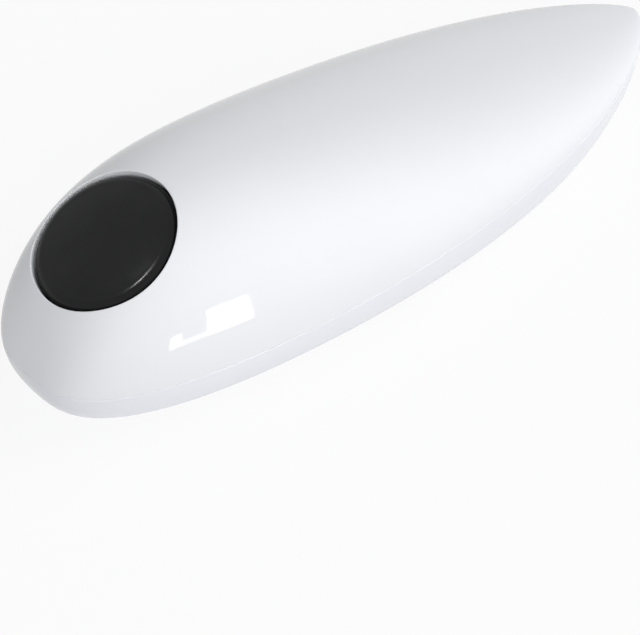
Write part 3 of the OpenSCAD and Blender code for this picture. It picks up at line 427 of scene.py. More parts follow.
def tubeMeets(phi, r, inset):
    # height along the button's axis at which a line of the tube leaves the skin
    low, high = np.full(phi.shape, -12.0), np.full(phi.shape, 9.0)
    for _ in range(48):
        middle = (low + high) / 2
        inside = outsideBy(tubePoint(phi, r, middle), inset) < 0
        low, high = np.where(inside, middle, low), np.where(inside, high, middle)
    return (low + high) / 2


def placeOnSkin(p, inset):
    u = (p[..., 0] - noseX - inset) / (fullLength - 2 * inset)
    v = np.interp(u, stationValues, stationTable)
    return v, np.arccos(np.clip(-p[..., 1] / halfWidth(u, inset), -1, 1))


# casing screws as (way from the nose, side, height of the seat); the middle pair keeps off the wall
sideX, offWall, wholeLength = 77, 6.9, 180
sideY = float(halfWidth(sideX / wholeLength)) - offWall
screwSpots = [(6.5, 0, 2.6), (sideX, sideY, 5.1), (sideX, -sideY, 5.1), (162, 0, 4.3)]
coverMesh = {"along": 190, "over": 34, "rings": 90, "innerRings": 44, "lengthToArc": 8}


def outerLoop(edge, inset):
    # loop round the parting line, as (station, angle) pairs
    along, over = coverMesh["along"], coverMesh["over"]
    v = np.concatenate([np.ones(over), np.linspace(1, 0, along, endpoint=False), np.zeros(over),
                        np.linspace(0, 1, along, endpoint=False)])
    sweep = np.linspace(0, 1, over, endpoint=False)
    a = np.concatenate([sweep, np.ones(along), 1 - sweep, np.zeros(along)])
    h = np.maximum(rise(stationOf(v), inset), 1e-9)
    r = np.minimum(edge, 0.35 * h)
    n = shell["roundness"]
    first = np.arccos(np.clip((1 - (r / h) ** n) ** (1 / n), -1, 1))
    return v, first + (math.pi - 2 * first) * a, r


def skinRings(loopV, loopA, holeRadius, inset, count):
    # rings from the hole out to the loop, evenly matched by direction
    scale = coverMesh["lengthToArc"]
    phi = np.linspace(0, 2 * math.pi, 1441)
    edge = tubePoint(phi, holeRadius, tubeMeets(phi, holeRadius, inset))
    holeV, holeA = placeOnSkin(edge, inset)
    midV, midA = np.mean(holeV[:-1]), math.pi / 2
    turn = np.unwrap(np.arctan2(holeA - midA, (holeV - midV) * scale))
    want = np.arctan2(loopA - midA, (loopV - midV) * scale)
    low = min(turn[0], turn[-1])
    want = low + np.mod(want - low, 2 * math.pi)
    order = np.argsort(turn)
    phiAt = np.interp(want, turn[order], phi[order])
    start = tubePoint(phiAt, holeRadius, tubeMeets(phiAt, holeRadius, inset))
    startV, startA = placeOnSkin(start, inset)
    rings = []
    for k in range(count + 1):
        s = k / count
        e = s - 0.1 * math.sin(2 * math.pi * s)
        rings.append(skinPoint(startV + (loopV - startV) * e, startA + (loopA - startA) * e, inset))
    rings[0] = start
    return rings, phiAt


def bezierRings(start, corner, end, count):
    return [start * (1 - t) ** 2 + corner * (2 * t * (1 - t)) + end * t ** 2
            for t in (k / count for k in range(1, count))]


# the last screw post is as high as the dome over it lets it be; the pin's post is (height, radius, bore, depth)
postLook = {"radius": 2.8, "bore": 1.4, "depth": 5, "heights": (5.6, 10.4, 10.4), "overShaft": 2,
            "pinPost": (8, 3.1, 1.5, 3)}


def buildTopCover():
    look = buttonLook
    v, a, r = outerLoop(shell["edge"], 0)
    rounding = look["holeRounding"]
    outer, phi = skinRings(v, a, look["holeRadius"] + rounding, 0, coverMesh["rings"])
    wallAt = tubeMeets(phi, look["holeRadius"], 0)
    corner = tubePoint(phi, look["holeRadius"], wallAt)
    wallTop = tubePoint(phi, look["holeRadius"], wallAt - rounding)
    rings = [wallTop] + bezierRings(wallTop, corner, outer[0], 7) + outer
    # rounded edge down to the parting line, drawn in towards the middle
    u = stationOf(v)
    x = alongX(u)
    edgeY = -np.sign(np.cos(a)) * halfWidth(u)
    step = 1e-4
    slope = (halfWidth(np.clip(u + step, 0, 1)) - halfWidth(np.clip(u - step, 0, 1))) / (2 * step * fullLength)
    atTip = (u < 1e-9) | (u > 1 - 1e-9)
    inward = np.stack([np.where(atTip, np.where(u < 0.5, 1, -1), slope),
                       np.where(atTip, 0, np.sign(np.cos(a))), np.zeros_like(u)], -1)
    inward /= np.linalg.norm(inward, axis=1)[:, None]
    n = shell["roundness"]
    h = np.maximum(rise(u), 1e-9)
    for drop in (0.7, 0.42, 0.18, 0.0):
        height = drop * r
        wide = (1 - np.clip(height / h, 0, 1) ** n) ** (1 / n)
        offset = r - np.sqrt(np.maximum(0, r ** 2 - (r - height) ** 2))
        point = np.stack([x, edgeY * wide, partHeight(x) + height], -1)
        point[:, 1] = np.where(atTip, 0, point[:, 1])
        rings.append(point + inward * offset[:, None])
    # inside skin and the tube round the button
    innerA = np.clip((a - a.min()) / (a.max() - a.min()), 0, 1) * math.pi
    innerA = np.where(np.abs(innerA) < 0.02, 0, np.where(np.abs(innerA - math.pi) < 0.02, math.pi, innerA))
    inner, innerPhi = skinRings(v, innerA, look["tubeRadius"], shell["wall"], coverMesh["innerRings"])
    rings += inner[::-1]
    rings += [tubePoint(innerPhi, look["tubeRadius"], np.full(phi.shape, look["tubeEnd"])),
              tubePoint(phi, look["holeRadius"] + 0.25, np.full(phi.shape, look["tubeEnd"])),
              tubePoint(phi, look["holeRadius"], np.full(phi.shape, look["tubeEnd"] + 0.25))]
    count = len(v)
    verts = np.concatenate(rings) * mm
    parts = [([Vector(p) for p in verts], bandFaces(len(rings), count, closed=True))]
    # screw posts and the post over the first gear's pin
    pin = centreOf("first_gear_pin") / mm
    pinHeight = centreOf("motor_shaft").z / mm + postLook["overShaft"]
    posts = [(pin.x, pin.y, pinHeight, *postLook["pinPost"])]
    tailHeight = float(rise(np.array(0.9))) - 1.1
    for (fromNose, y, _), height in zip(screwSpots, (*postLook["heights"], tailHeight)):
        px = noseX + fromNose
        depth = min(postLook["depth"], height - 1)
        posts.append((px, y, partHeight(px), height, postLook["radius"], postLook["bore"], depth))
    for px, py, bottom, height, radius, bore, depth in posts:
        top = bottom + height
        profile = softProfile([(0, bottom + depth), (bore, bottom + depth, 0.1), (bore, bottom, 0.3),
                               (radius, bottom, 0.3), (radius, top, 0.1), (0, top)], 0.2)
        parts.append(lathe(profile, Vector((px, py, 0)) * mm, around=40))
    return makeObject("topCover", *mergeMeshes(parts), sharp=38)


topCover = place(buildTopCover(), "casing", "casing_white", "top_cover")
print("top cover:", len(topCover.data.vertices), "points")


def panLoop(inset, kind, value, share=None, count=150):
    # value is a lift above the base, a share from base to parting line, a lift above the parting line,
    # or a lip that follows the dome's height
    u = stationOf(np.linspace(0, 1, count + 1))
    x = alongX(u, inset)
    w = halfWidth(u, inset if share is None else share * cornerAt(u))
    z = {"base": baseHeight(x) + value,
         "share": baseHeight(x) + (partHeight(x) - baseHeight(x)) * value,
         "part": partHeight(x) + value,
         "lip": partHeight(x) + value * np.minimum(1, 0.14 * rise(u)) + 0.02}[kind]
    loop = np.stack([x, w, z], -1)
    return np.concatenate([loop, loop[-2:0:-1] * (1, -1, 1)])


def cornerAt(u):
    return panLook["corner"] + panLook["cornerGain"] * np.sin(math.pi / 2 * np.minimum(1, u / 0.4)) ** 2


panLook = {
    "corner": 2, "cornerGain": 1.6, "edge": 0.22,
    "doorRim": (60.4, 17.7), "cellRoom": (-0.6, 53.6, 14.9),   # reach along, then half the width
    "column": 3.3, "guidePost": 2.4,   # radii
    "footPin": (26.8, 18), "footPinRadius": 1,
}
pillarSpots = [(50, -19), (68, -15), (82.5, 11), (46, 20.5)]
guideSpots = [(14.5, -9), (14.5, 9), (57.5, 0)]
bores = {"hub": 9, "spindle": 4.5, "screw": 1.2, "pillarHead": 2.3, "magnetHead": 2.4}   # radii
base = shell["base"]
doorFrom, doorTo, doorWidth, tongueWidth = -1.4, 57.5, 15.5, 16.3


def buildPan():
    corner, edge, wall = panLook["corner"], panLook["edge"], shell["wall"]
    loops = [panLoop(corner, "base", 0, 1)]
    for k in range(1, 15):
        f = math.radians(90 * k / 15)
        loops.append(panLoop(corner * (1 - math.sin(f)), "share", 1 - math.cos(f), 1 - math.sin(f)))
    for lower, pull in ((1.0, 0.0), (0.6, 0.08), (0.3, 0.29), (0.08, 0.61), (0.0, 1.0)):
        loops.append(panLoop(edge * pull, "part", -edge * lower))
    loops += [panLoop(wall + 0.6, "part", 0), panLoop(wall + 0.6, "lip", 0.85), panLoop(wall + 0.75, "lip", 1),
              panLoop(wall + 1.35, "lip", 1), panLoop(wall + 1.5, "lip", 0.85), panLoop(wall + 1.5, "part", -0.8),
              panLoop(wall + 0.2, "part", -2), panLoop(wall + 0.8, "base", 3.8), panLoop(wall + 2, "base", 2)]
    around = len(loops[0])
    verts = [Vector(p) * mm for p in np.concatenate(loops)]
    faces = bandFaces(len(loops), around)
    half = around // 2
    last = (len(loops) - 1) * around
    for start in (0, last):
        for i in range(half):
            j, k = (around - i) % around, around - i - 1
            quad = [start + i, start + i + 1, start + k, start + j]
            faces.append(tuple(dict.fromkeys(quad)))
    return makeObject("bottomCover", verts, faces, sharp=38)


def cutterOf(parts):
    return makeObject("cutter", *mergeMeshes(parts))


def stepBore(x, y, *steps, around=48, mouth=None):
    # round cut of several widths, from below upwards: (radius, up to height) pairs; the mouth is eased
    low, first = 0, steps[0][0]
    mouth = base if mouth is None else mouth
    profile = [(0, low), (first + 0.3, low), (first + 0.3, mouth - 0.02), (first + 0.09, mouth + 0.07),
               (first, mouth + 0.28)]
    low = mouth + 0.28
    for radius, top in steps:
        if radius != first:
            profile.append((radius, low))
        profile.append((radius, top))
        low = top
    profile.append((0, low))
    return lathe(profile, Vector((noseX + x, y, 0)) * mm, around=around)


def rod(x, y, radius, low, high, around):
    return lathe([(0, low), (radius, low), (radius, high), (0, high)], Vector((noseX + x, y, 0)) * mm,
                 around=around)


def buildBottomCover():
    pan = buildPan()
    hub, spindle = centreOf("carriage_bush") / mm, centreOf("spindle_bush") / mm
    magnet = centreOf("magnet") / mm
    # rim round the door, screw columns and the front pair of guide posts, all inside
    rimLength, rimHalf = panLook["doorRim"]
    doorRim = boxMesh((doorFrom - 0.6, -rimHalf, base + 1.6), (doorFrom + rimLength, rimHalf, base + 3.4))
    combine(pan, cutterOf([doorRim]), "UNION")
    columns = []
    for x, y, _ in screwSpots:
        px = noseX + x
        columns.append(rod(x, y, panLook["column"], baseHeight(px) + 1, partHeight(px), 40))
    columns += [rod(x, y, panLook["guidePost"], base + 1, base + 4, 40) for x, y in guideSpots[:2]]
    combine(pan, cutterOf(columns), "UNION")
    # channel of the battery door, then its tongue slots, then the rest
    combine(pan, cutterOf([boxMesh((doorFrom - 0.2, -doorWidth - 0.3, 0), (100, doorWidth + 0.3, base + 1.8))]))
    combine(pan, cutterOf([boxMesh((doorFrom - 0.2, -tongueWidth - 0.2, base + 0.7),
                                   (100, tongueWidth + 0.2, base + 1.8))]))
    roomFrom, roomTo, roomHalf = panLook["cellRoom"]
    cuts = [boxMesh((roomFrom, -roomHalf, 0), (roomTo, roomHalf, 20))]
    for x, y, seat in screwSpots:
        px = noseX + x
        cuts.append(stepBore(x, y, (2.8, base + seat), (1.4, 40), mouth=float(baseHeight(px))))
    cuts += [stepBore(hub.x - noseX, 0, (bores["hub"], 12), around=96),
             stepBore(spindle.x - noseX, 0, (bores["spindle"], 12), around=72),
             stepBore(magnet.x - noseX, 0, (bores["screw"], base + 0.8), (bores["magnetHead"], base + 5.8))]
    cuts += [stepBore(x, y, (bores["screw"], base + 3.5)) for x, y in guideSpots]
    cuts += [stepBore(x, y, (bores["pillarHead"], base + 1.1), (bores["screw"], 20)) for x, y in pillarSpots]
    combine(pan, cutterOf(cuts))
    # holes for the pins of the switch bracket's feet
    x, y = panLook["footPin"]
    pins = [rod(x, side * y, panLook["footPinRadius"], base + 0.7, base + 6, 32) for side in (-1, 1)]
    combine(pan, cutterOf(pins))
    finishShading(pan.data, 38)
    return pan


bottomCover = place(buildBottomCover(), "casing", "pan_white", "bottom_cover")
print("bottom cover:", len(bottomCover.data.vertices), "points")


doorLook = {
    "thickness": 1.6, "edge": 0.25, "tongueFoot": 0.8, "tongueLength": 48,
    "grooves": 5, "grooveRadius": 0.8, "groovePitch": 2.4, "grooveLength": 16, "groovesFrom": 14,
}


def buildDoor():
    stations = np.linspace(doorFrom, doorTo, 90)
    top = base + doorLook["thickness"]
    e = doorLook["edge"]
    verts = []
    outline = [(-doorWidth, 1), (-doorWidth, 0.5), (-doorWidth + e * 0.3, 0.15), (-doorWidth + e, 0),
               (0, 0), (doorWidth - e, 0), (doorWidth - e * 0.3, 0.15), (doorWidth, 0.5), (doorWidth, 1), (0, 1)]
    for x in stations:
        low = float(baseHeight(x))
        for y, share in outline:
            lift = share * 0.5 if share < 1 else 0
            verts.append(Vector((x, y, top if share == 1 else low + lift * min(1, (top - low)))) * mm)
    around = len(outline)
    faces = bandFaces(len(stations), around)
    last = (len(stations) - 1) * around
    faces.append(tuple(range(around - 1, -1, -1)))
    faces.append(tuple(range(last, last + around)))
    door = makeObject("batteryDoor", verts, faces, sharp=38)
    tongues = []
    for side in (-1, 1):
        y0, y1 = sorted((side * (doorWidth - 1), side * tongueWidth))
        tongues.append(boxMesh((doorFrom, y0, base + doorLook["tongueFoot"]),
                               (doorFrom + doorLook["tongueLength"], y1, top - 0.001)))
    combine(door, cutterOf(tongues), "UNION")
    grooves = []
    for k in range(doorLook["grooves"]):
        gx = doorTo - doorLook["groovesFrom"] + doorLook["groovePitch"] * k
        gz = float(baseHeight(gx)) - 0.5
        length, radius = doorLook["grooveLength"] / 2 - 0.8, doorLook["grooveRadius"]
        profile = [(0, -length - radius)]
        for q in range(1, 7):
            f = math.radians(15 * q)
            profile.append((radius * math.sin(f), -length - radius * math.cos(f)))
        profile += [(pr, -ps) for pr, ps in profile[::-1]]
        grooves.append(lathe(profile, Vector((gx, 0, gz)) * mm,
                             (Vector((1, 0, 0)), Vector((0, 0, 1)), Vector((0, 1, 0))), 32))
    combine(door, cutterOf(grooves))
    finishShading(door.data, 38)
    return door


batteryDoor = place(buildDoor(), "door", "pan_white", "battery_door")
print("battery door:", len(batteryDoor.data.vertices), "points")


capLook = {
    "radius": 15.4, "crown": 2.05, "drop": 0.85, "edge": 2.2, "edgeDrop": 1.7, "skirt": -5.6, "wall": 1.8,
    "flange": 16.6, "flangeHeight": 1.2, "post": 3, "postEnd": -8, "nib": 2, "nibHeight": 0.15,
}


def buildButtonCap():
    r, flat = capLook["radius"], capLook["radius"] - capLook["edge"]
    profile = [(0, capLook["crown"])]
    for k in range(1, 25):
        q = flat * k / 24
        profile.append((q, capLook["crown"] - capLook["drop"] * (q / flat) ** 2.1))
    end = profile[-1][1]
    for k in range(1, 10):
        f = math.radians(10 * k)
        profile.append((flat + (r - flat) * math.sin(f), end - capLook["edgeDrop"] * (1 - math.cos(f))))
    skirt, flange, inside = capLook["skirt"], capLook["flange"], r - capLook["wall"]
    foot, post, nib, postEnd = skirt - capLook["flangeHeight"], capLook["post"], capLook["nib"], capLook["postEnd"]
    nibFrom = postEnd + capLook["nibHeight"]
    lower = softProfile([(r, end - capLook["edgeDrop"] - 0.2), (r, skirt, 0.2), (flange, skirt, 0.2),
                         (flange, foot, 0.2), (inside, foot, 0.2), (inside, -2.1, 0.6), (post, -1.5, 0.4),
                         (post, nibFrom, 0.3), (nib, nibFrom, 0.05), (nib - 0.1, postEnd, 0.05), (0, postEnd)], 0.2)
    return makeObject("buttonCap", *lathe(profile + lower, buttonOrigin, buttonFrame, 160), sharp=50)


place(buildButtonCap(), "button", "button_black", "button_cap")

springLook = {"coilRadius": 4.6, "wire": 0.4, "low": -10.1, "high": -2.6, "turns": 5, "steps": 40, "sides": 14}


def buildButtonSpring():
    look = springLook
    count = look["turns"] * look["steps"]
    verts = []
    for i in range(count + 1):
        f = i / count
        turn = 2 * math.pi * look["turns"] * f
        height = look["low"] + look["wire"] + (look["high"] - look["low"] - 2 * look["wire"]) * f
        for j in range(look["sides"]):
            b = 2 * math.pi * j / look["sides"]
            q = look["coilRadius"] + look["wire"] * math.cos(b)
            verts.append(buttonOrigin + mm * (buttonFrame[0] * (q * math.cos(turn)) +
                                              buttonFrame[1] * (q * math.sin(turn)) +
                                              buttonFrame[2] * (height + look["wire"] * math.sin(b))))
    faces = bandFaces(count + 1, look["sides"])
    faces += [tuple(range(look["sides"])), tuple(range(count * look["sides"], (count + 1) * look["sides"]))]
    return makeObject("buttonSpring", verts, faces, sharp=60)


buttonSpring = place(buildButtonSpring(), "casing", "spring_steel", "button_spring")
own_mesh(buttonSpring)
print("button and its spring built")


slotOf = {part["node"]: part["material_slot"] for part in frame["record"]["subparts"]}
bodyOf = {node: body for body, group in frame["record"]["behaviour"]["bodies"].items() for node in group}


def stand(piece, node):
    # the piece takes the CAD node's place, body and finish
    return place(piece, bodyOf[node], slotOf[node], node)


def turned(node, corners, around, closed=False, radius=0.12):
    # round part on the vertical axis through the node's middle
    spot = centreOf(node)
    if closed:
        # the loop's ends overlap, so that its first and last corners are eased like the rest
        profile = softProfile([corners[-1][:2]] + corners + [corners[0][:2]], radius, 3)[1:-1]
    else:
        profile = softProfile(corners, radius, 3)
    name = node.title().replace("_", "")
    name = name[0].lower() + name[1:]
    verts, faces = lathe(profile, Vector((spot.x, spot.y, 0)), around=around, closed=closed)
    return makeObject(name, verts, faces, sharp=32)


plateLook = {"corner": 4, "edge": 0.18, "seat": 2.4}


def buildGuidePlate():
    low, high = (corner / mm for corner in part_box("guide_plate"))
    look = plateLook
    loops = []
    for inset, z in ((look["edge"], low.z), (0.05, low.z + 0.06), (0, low.z + look["edge"]),
                     (0, high.z - look["edge"]), (0.05, high.z - 0.06), (look["edge"], high.z)):
        r, ring = look["corner"] - inset, []
        for q, (cx, cy) in enumerate(((high.x, high.y), (low.x, high.y), (low.x, low.y), (high.x, low.y))):
            mx = cx - look["corner"] * (1 if cx > low.x else -1)
            my = cy - look["corner"] * (1 if cy > low.y else -1)
            for k in range(15):
                f = math.radians(90 * (q + k / 14))
                ring.append(Vector((mx + r * math.cos(f), my + r * math.sin(f), z)) * mm)
        loops.append(ring)
    around = len(loops[0])
    faces = bandFaces(len(loops), around)
    last = (len(loops) - 1) * around
    faces += [tuple(range(around - 1, -1, -1)), tuple(range(last, last + around))]
    plate = makeObject("guidePlate", [v for ring in loops for v in ring], faces)
    hub, spindle = centreOf("carriage_bush") / mm, centreOf("spindle_bush") / mm
    top, mouth = high.z + 1, low.z
    cuts = [stepBore(hub.x - noseX, 0, (bores["hub"], top), around=128, mouth=mouth),
            stepBore(spindle.x - noseX, 0, (bores["spindle"], top), around=72, mouth=mouth)]
    for x, y in guideSpots:
        seat = look["seat"]
        profile = [(0, mouth - 1), (seat + 0.1, mouth - 1), (seat + 0.1, mouth - 0.01), (seat, mouth + 0.06),
                   (bores["screw"] + 0.05, mouth + 1), (bores["screw"], top), (0, top)]
        cuts.append(lathe(profile, Vector((noseX + x, y, 0)) * mm, around=48))
    combine(plate, cutterOf(cuts))
    finishShading(plate.data, 32)
    return plate


stand(buildGuidePlate(), "guide_plate")

driveLook = {
    "teeth": 24, "root": 0.75, "edge": 0.16, "collar": 1.2, "bore": 2.5,
    # one tooth, as (share of a step, share of the depth) pairs
    "tooth": ((-0.5, 1), (-0.44, 0.93), (-0.27, 0.45), (-0.14, 0.06), (-0.08, 0), (0, 0), (0.08, 0), (0.14, 0.06),
              (0.27, 0.45), (0.44, 0.93)),
}


def buildDriveWheel():
    low, high = (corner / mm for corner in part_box("drive_wheel"))
    spot, look = centreOf("drive_wheel") / mm, driveLook
    radius = (high.x - low.x) / 2
    step = 2 * math.pi / look["teeth"]
    toothTop = high.z - 0.3
    rings = []
    for shrinkBy, z in ((look["bore"], low.z), (look["edge"], low.z), (0.04, low.z + 0.05), (0, low.z + look["edge"]),
                        (0, toothTop - look["edge"]), (0.04, toothTop - 0.05), (look["edge"], toothTop)):
        ring = []
        for i in range(look["teeth"]):
            for share, drop in look["tooth"]:
                a = step * (i + share)
                r = radius - look["root"] * drop - shrinkBy
                r = look["bore"] if shrinkBy == look["bore"] else r
                ring.append(Vector((spot.x + r * math.cos(a), spot.y + r * math.sin(a), z)) * mm)
        rings.append(ring)
    for r, z in ((radius - look["collar"], toothTop), (radius - look["collar"], high.z - 0.08),
                 (radius - look["collar"] - 0.08, high.z), (look["bore"], high.z)):
        turns = [step * (i + share) for i in range(look["teeth"]) for share, drop in look["tooth"]]
        rings.append([Vector((spot.x + r * math.cos(a), spot.y + r * math.sin(a), z)) * mm for a in turns])
    wheel = makeObject("driveWheel", [v for ring in rings for v in ring],
                       bandFaces(len(rings), len(rings[0]), closed=True), sharp=28)
    return wheel


stand(buildDriveWheel(), "drive_wheel")

# corners are (radius, height, rounding), the cutter wheel's over its lower face
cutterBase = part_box("cutter_wheel")[0].z / mm
cutterCorners = [(1.85, 0, 0.1), (5, 0, 0.3), (7.8, 0.45, 0.1), (8, 0.6, 0.05), (7.8, 0.75, 0.1), (5.4, 1.2, 0.3),
                 (3.4, 1.2, 0.2), (3.4, 1.9, 0.15), (1.85, 1.9, 0.1)]
stand(turned("cutter_wheel", [(r, cutterBase + z, soft) for r, z, soft in cutterCorners], 160, True), "cutter_wheel")
magnetCorners = [(0, 0), (8, 0, 0.35), (8, 2.6, 0.2), (0, 2.6)]
stand(turned("magnet", magnetCorners, 128), "magnet")
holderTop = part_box("magnet_holder")[1].z / mm
holderCorners = [(8, 0.4, 0.1), (8.9, 0.4, 0.3), (8.9, holderTop, 0.1), (1.2, holderTop, 0.05), (1.2, 3, 0.05),
                 (1.8, 2.6, 0.05), (8, 2.6, 0.05)]
stand(turned("magnet_holder", holderCorners, 128, True), "magnet_holder")
bushLow, bushHigh = (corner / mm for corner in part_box("carriage_bush"))
bushCorners = [(7.55, bushLow.z, 0.12), (9, bushLow.z, 0.12), (9, bushHigh.z, 0.1), (7.55, bushHigh.z, 0.1)]
stand(turned("carriage_bush", bushCorners, 128, True), "carriage_bush")
print("guide plate, wheels, magnet and bush built")

headLook = {"dome": 0.35, "edge": 0.25, "slotWidth": 0.62, "slotDepth": 0.6, "slotReach": 0.6}


casingScrew = {"shank": 1.38, "length": 10, "head": 2.5, "height": 1.6}
driveScrew = {"shank": 1.2, "length": 5, "head": 3.3, "height": 1}


def headedScrew(x, y, seat, size, turnBy):
    # seat at the head's upper side, head below, shank up
    shank, length, head, height = (size[key] for key in ("shank", "length", "head", "height"))
    low = seat - height
    profile = [(0, low)]
    for k in range(1, 7):
        q = (head - headLook["edge"]) * k / 6
        profile.append((q, low + headLook["dome"] * 0.5 * (q / head) ** 2))
    edge = profile[-1][1]
    for k in range(1, 6):
        f = math.radians(18 * k)
        profile.append((head - headLook["edge"] * (1 - math.sin(f)), edge + headLook["edge"] * (1 - math.cos(f))))
    profile += [(head, seat - 0.06), (head - 0.06, seat), (shank, seat), (shank, seat + length - shank * 0.8),
                (shank * 0.25, seat + length), (0, seat + length)]
    screw = makeObject("screw", *lathe(profile, Vector((x, y, 0)) * mm, around=56), sharp=35)
    reach, half = head * headLook["slotReach"], headLook["slotWidth"] / 2
    for k in range(2):
        blade = makeObject("blade", *boxMesh((-reach, -half, low - 1), (reach, half, low + headLook["slotDepth"])))
        for v in blade.data.vertices:
            if v.co.z > low * mm:
                v.co.x *= 0.8
        spin = Matrix.Rotation(turnBy + k * math.pi / 2, 4, "Z")
        blade.data.transform(Matrix.Translation(Vector((x, y, 0)) * mm) @ spin)
        combine(screw, blade)
    return screw


def joinAs(name, parts):
    build = bmesh.new()
    for part in parts:
        build.from_mesh(part.data)
        bpy.data.objects.remove(part)
    mesh = bpy.data.meshes.new(name)
    build.to_mesh(mesh)
    build.free()
    finishShading(mesh, 32)
    return newObject(name, mesh)


screws = [headedScrew(noseX + x, y, base + seat, casingScrew, turnBy)
          for (x, y, seat), turnBy in zip(screwSpots, (0.3, 1.1, -0.5, 0.8))]
stand(joinAs("casingScrews", screws), "casing_screws")
driveSpot = centreOf("drive_screw") / mm
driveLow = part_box("drive_screw")[0].z / mm
stand(joinAs("driveScrew", [headedScrew(driveSpot.x, 0, driveLow + driveScrew["height"], driveScrew, 0.4)]),
      "drive_screw")
print("screws built")

cellLook = {"shoulder": 0.7, "rim": 6.2, "nub": 2.7, "nubLength": 1.2}


def buildCell(node, facing):
    low, high = (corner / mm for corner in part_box(node))
    r, length = (high.y - low.y) / 2, high.x - low.x
    start = low.x if facing > 0 else high.x
    flat, shoulder = length - cellLook["nubLength"], cellLook["shoulder"]
    rim, nub = cellLook["rim"], cellLook["nub"]
    corners = [(0, 0.12), (5.4, 0.12, 0.1), (5.6, 0, 0.1), (r - 0.2, 0, 0.3), (r, shoulder, 0.3),
               (r, flat - shoulder, 0.4), (r - 0.5, flat, 0.3), (rim, flat, 0.1), (rim - 0.2, flat - 0.35, 0.1),
               (nub + 0.5, flat - 0.35, 0.1), (nub, flat - 0.1, 0.2), (nub - 0.05, length, 0.3), (0, length)]
    middle = Vector((start, (low.y + high.y) / 2, (low.z + high.z) / 2)) * mm
    axes = (Vector((0, 1, 0)), Vector((0, 0, facing)), Vector((facing, 0, 0)))
    name = node.replace("_l", "L").replace("_r", "R")
    return makeObject(name, *lathe(softProfile(corners, 0.2), middle, axes, 96), sharp=35)


stand(buildCell("battery_left", 1), "battery_left")
stand(buildCell("battery_right", -1), "battery_right")
print("cells built")

for name, piece in nodes.items():
    if piece.hide_render:
        continue
    finish = finishes[slotOf[name]]
    for index in range(len(piece.material_slots)):
        piece.material_slots[index].material = finish
print("finishes set")


stageLook = {
    "glow": 0.88, "paper": ((0.87, 0.87, 0.87), (0.9, 0.9, 0.9)), "world": 0.24, "sky": (0.97, 0.98, 1),
    "rings": (0.05, 0.15, 0.4, 1.0, 2.5, 6.0), "around": 64, "lampAim": (0, 0, 0.02),   # rings and aim in metres
}


def buildFloor():
    verts = [(0, 0, 0)]
    rings, around = stageLook["rings"], stageLook["around"]
    faces = []
    for r in rings:
        verts += [(r * math.cos(2 * math.pi * i / around), r * math.sin(2 * math.pi * i / around), 0)
                  for i in range(around)]
    for i in range(around):
        j = (i + 1) % around
        faces.append((0, 1 + i, 1 + j))
        for k in range(len(rings) - 1):
            a, b = 1 + k * around, 1 + (k + 1) * around
            faces.append((a + i, b + i, b + j, a + j))
    floor = makeObject("floor", verts, faces)
    floor.location.z = cadBox[0][2] - 0.0001
    material, tree, shader, where = newMaterial("floorPaper")
    grain = noiseOf(tree, where, 900, 4)
    link(blendColour(tree, grain.outputs["Fac"], *stageLook["paper"]), shader, "Base Color")
    setInputs(shader, {"Roughness": 0.9, "Specular IOR Level": 0.1})
    weigh = nodeAt(tree, "ShaderNodeMath", operation="MULTIPLY")
    weigh.inputs[1].default_value = stageLook["glow"]
    glow, mix = nodeAt(tree, "ShaderNodeEmission"), nodeAt(tree, "ShaderNodeMixShader")
    path, side = nodeAt(tree, "ShaderNodeLightPath"), nodeAt(tree, "ShaderNodeNewGeometry")
    lightRay, unseen = (nodeAt(tree, "ShaderNodeMath", operation="MAXIMUM") for _ in range(2))
    clear, final = nodeAt(tree, "ShaderNodeBsdfTransparent"), nodeAt(tree, "ShaderNodeMixShader")
    # the paper glows for the eye only; it is open from below, and to light that travels on from the object
    for node, *sources in ((weigh, showOnly(tree)), (mix, weigh.outputs[0], shader.outputs[0], glow.outputs[0]),
                           (lightRay, path.outputs["Is Diffuse Ray"], path.outputs["Is Shadow Ray"]),
                           (unseen, lightRay.outputs[0], side.outputs["Backfacing"]),
                           (final, unseen.outputs[0], mix.outputs[0], clear.outputs[0]),
                           (tree.nodes["Material Output"], final.outputs[0])):
        for index, source in enumerate(sources):
            link(source, node, index)
    floor.data.materials.append(material)


def showOnly(tree):
    # 1 for what the camera, a reflection or a see-through ray sees, 0 for light that falls on things
    path = nodeAt(tree, "ShaderNodeLightPath")
    total = None
    for ray in ("Is Camera Ray", "Is Glossy Ray", "Is Transmission Ray"):
        if total is None:
            total = path.outputs[ray]
            continue
        add = nodeAt(tree, "ShaderNodeMath", operation="MAXIMUM")
        link(total, add, 0)
        link(path.outputs[ray], add, 1)
        total = add.outputs[0]
    return total


def buildWorld():
    world = bpy.data.worlds.new("studio")
    bpy.context.scene.world = world
    world.use_nodes = True
    tree = world.node_tree
    sky = tree.nodes["Background"]
    sky.inputs["Color"].default_value = (*stageLook["sky"], 1)
    strength = nodeAt(tree, "ShaderNodeMapRange")
    setInputs(strength, {"To Min": stageLook["world"], "To Max": 1})
    link(showOnly(tree), strength, "Value")
    link(strength.outputs["Result"], sky, "Strength")


lampLooks = {
    # side is where the lamp stands, in degrees from +X towards +Y, up its angle over the floor, far in metres
    "rightLamp": dict(side=-30, up=35, far=1.1, size=(0.9, 0.9), power=7.5),
    "frontLamp": dict(side=-90, up=35, far=1.1, size=(0.9, 0.9), power=2.5),
    "noseLamp": dict(side=-140, up=20, far=1.1, size=(0.7, 0.7), power=5.5),
    "lowLamp": dict(side=-80, up=5, far=1.1, size=(0.7, 0.5), power=1.15),
    "backLamp": dict(side=80, up=40, far=1.1, size=(0.9, 0.9), power=0.6),
    "underLamp": dict(side=-60, up=-75, far=0.9, size=(1.0, 1.0), power=4.5),
}


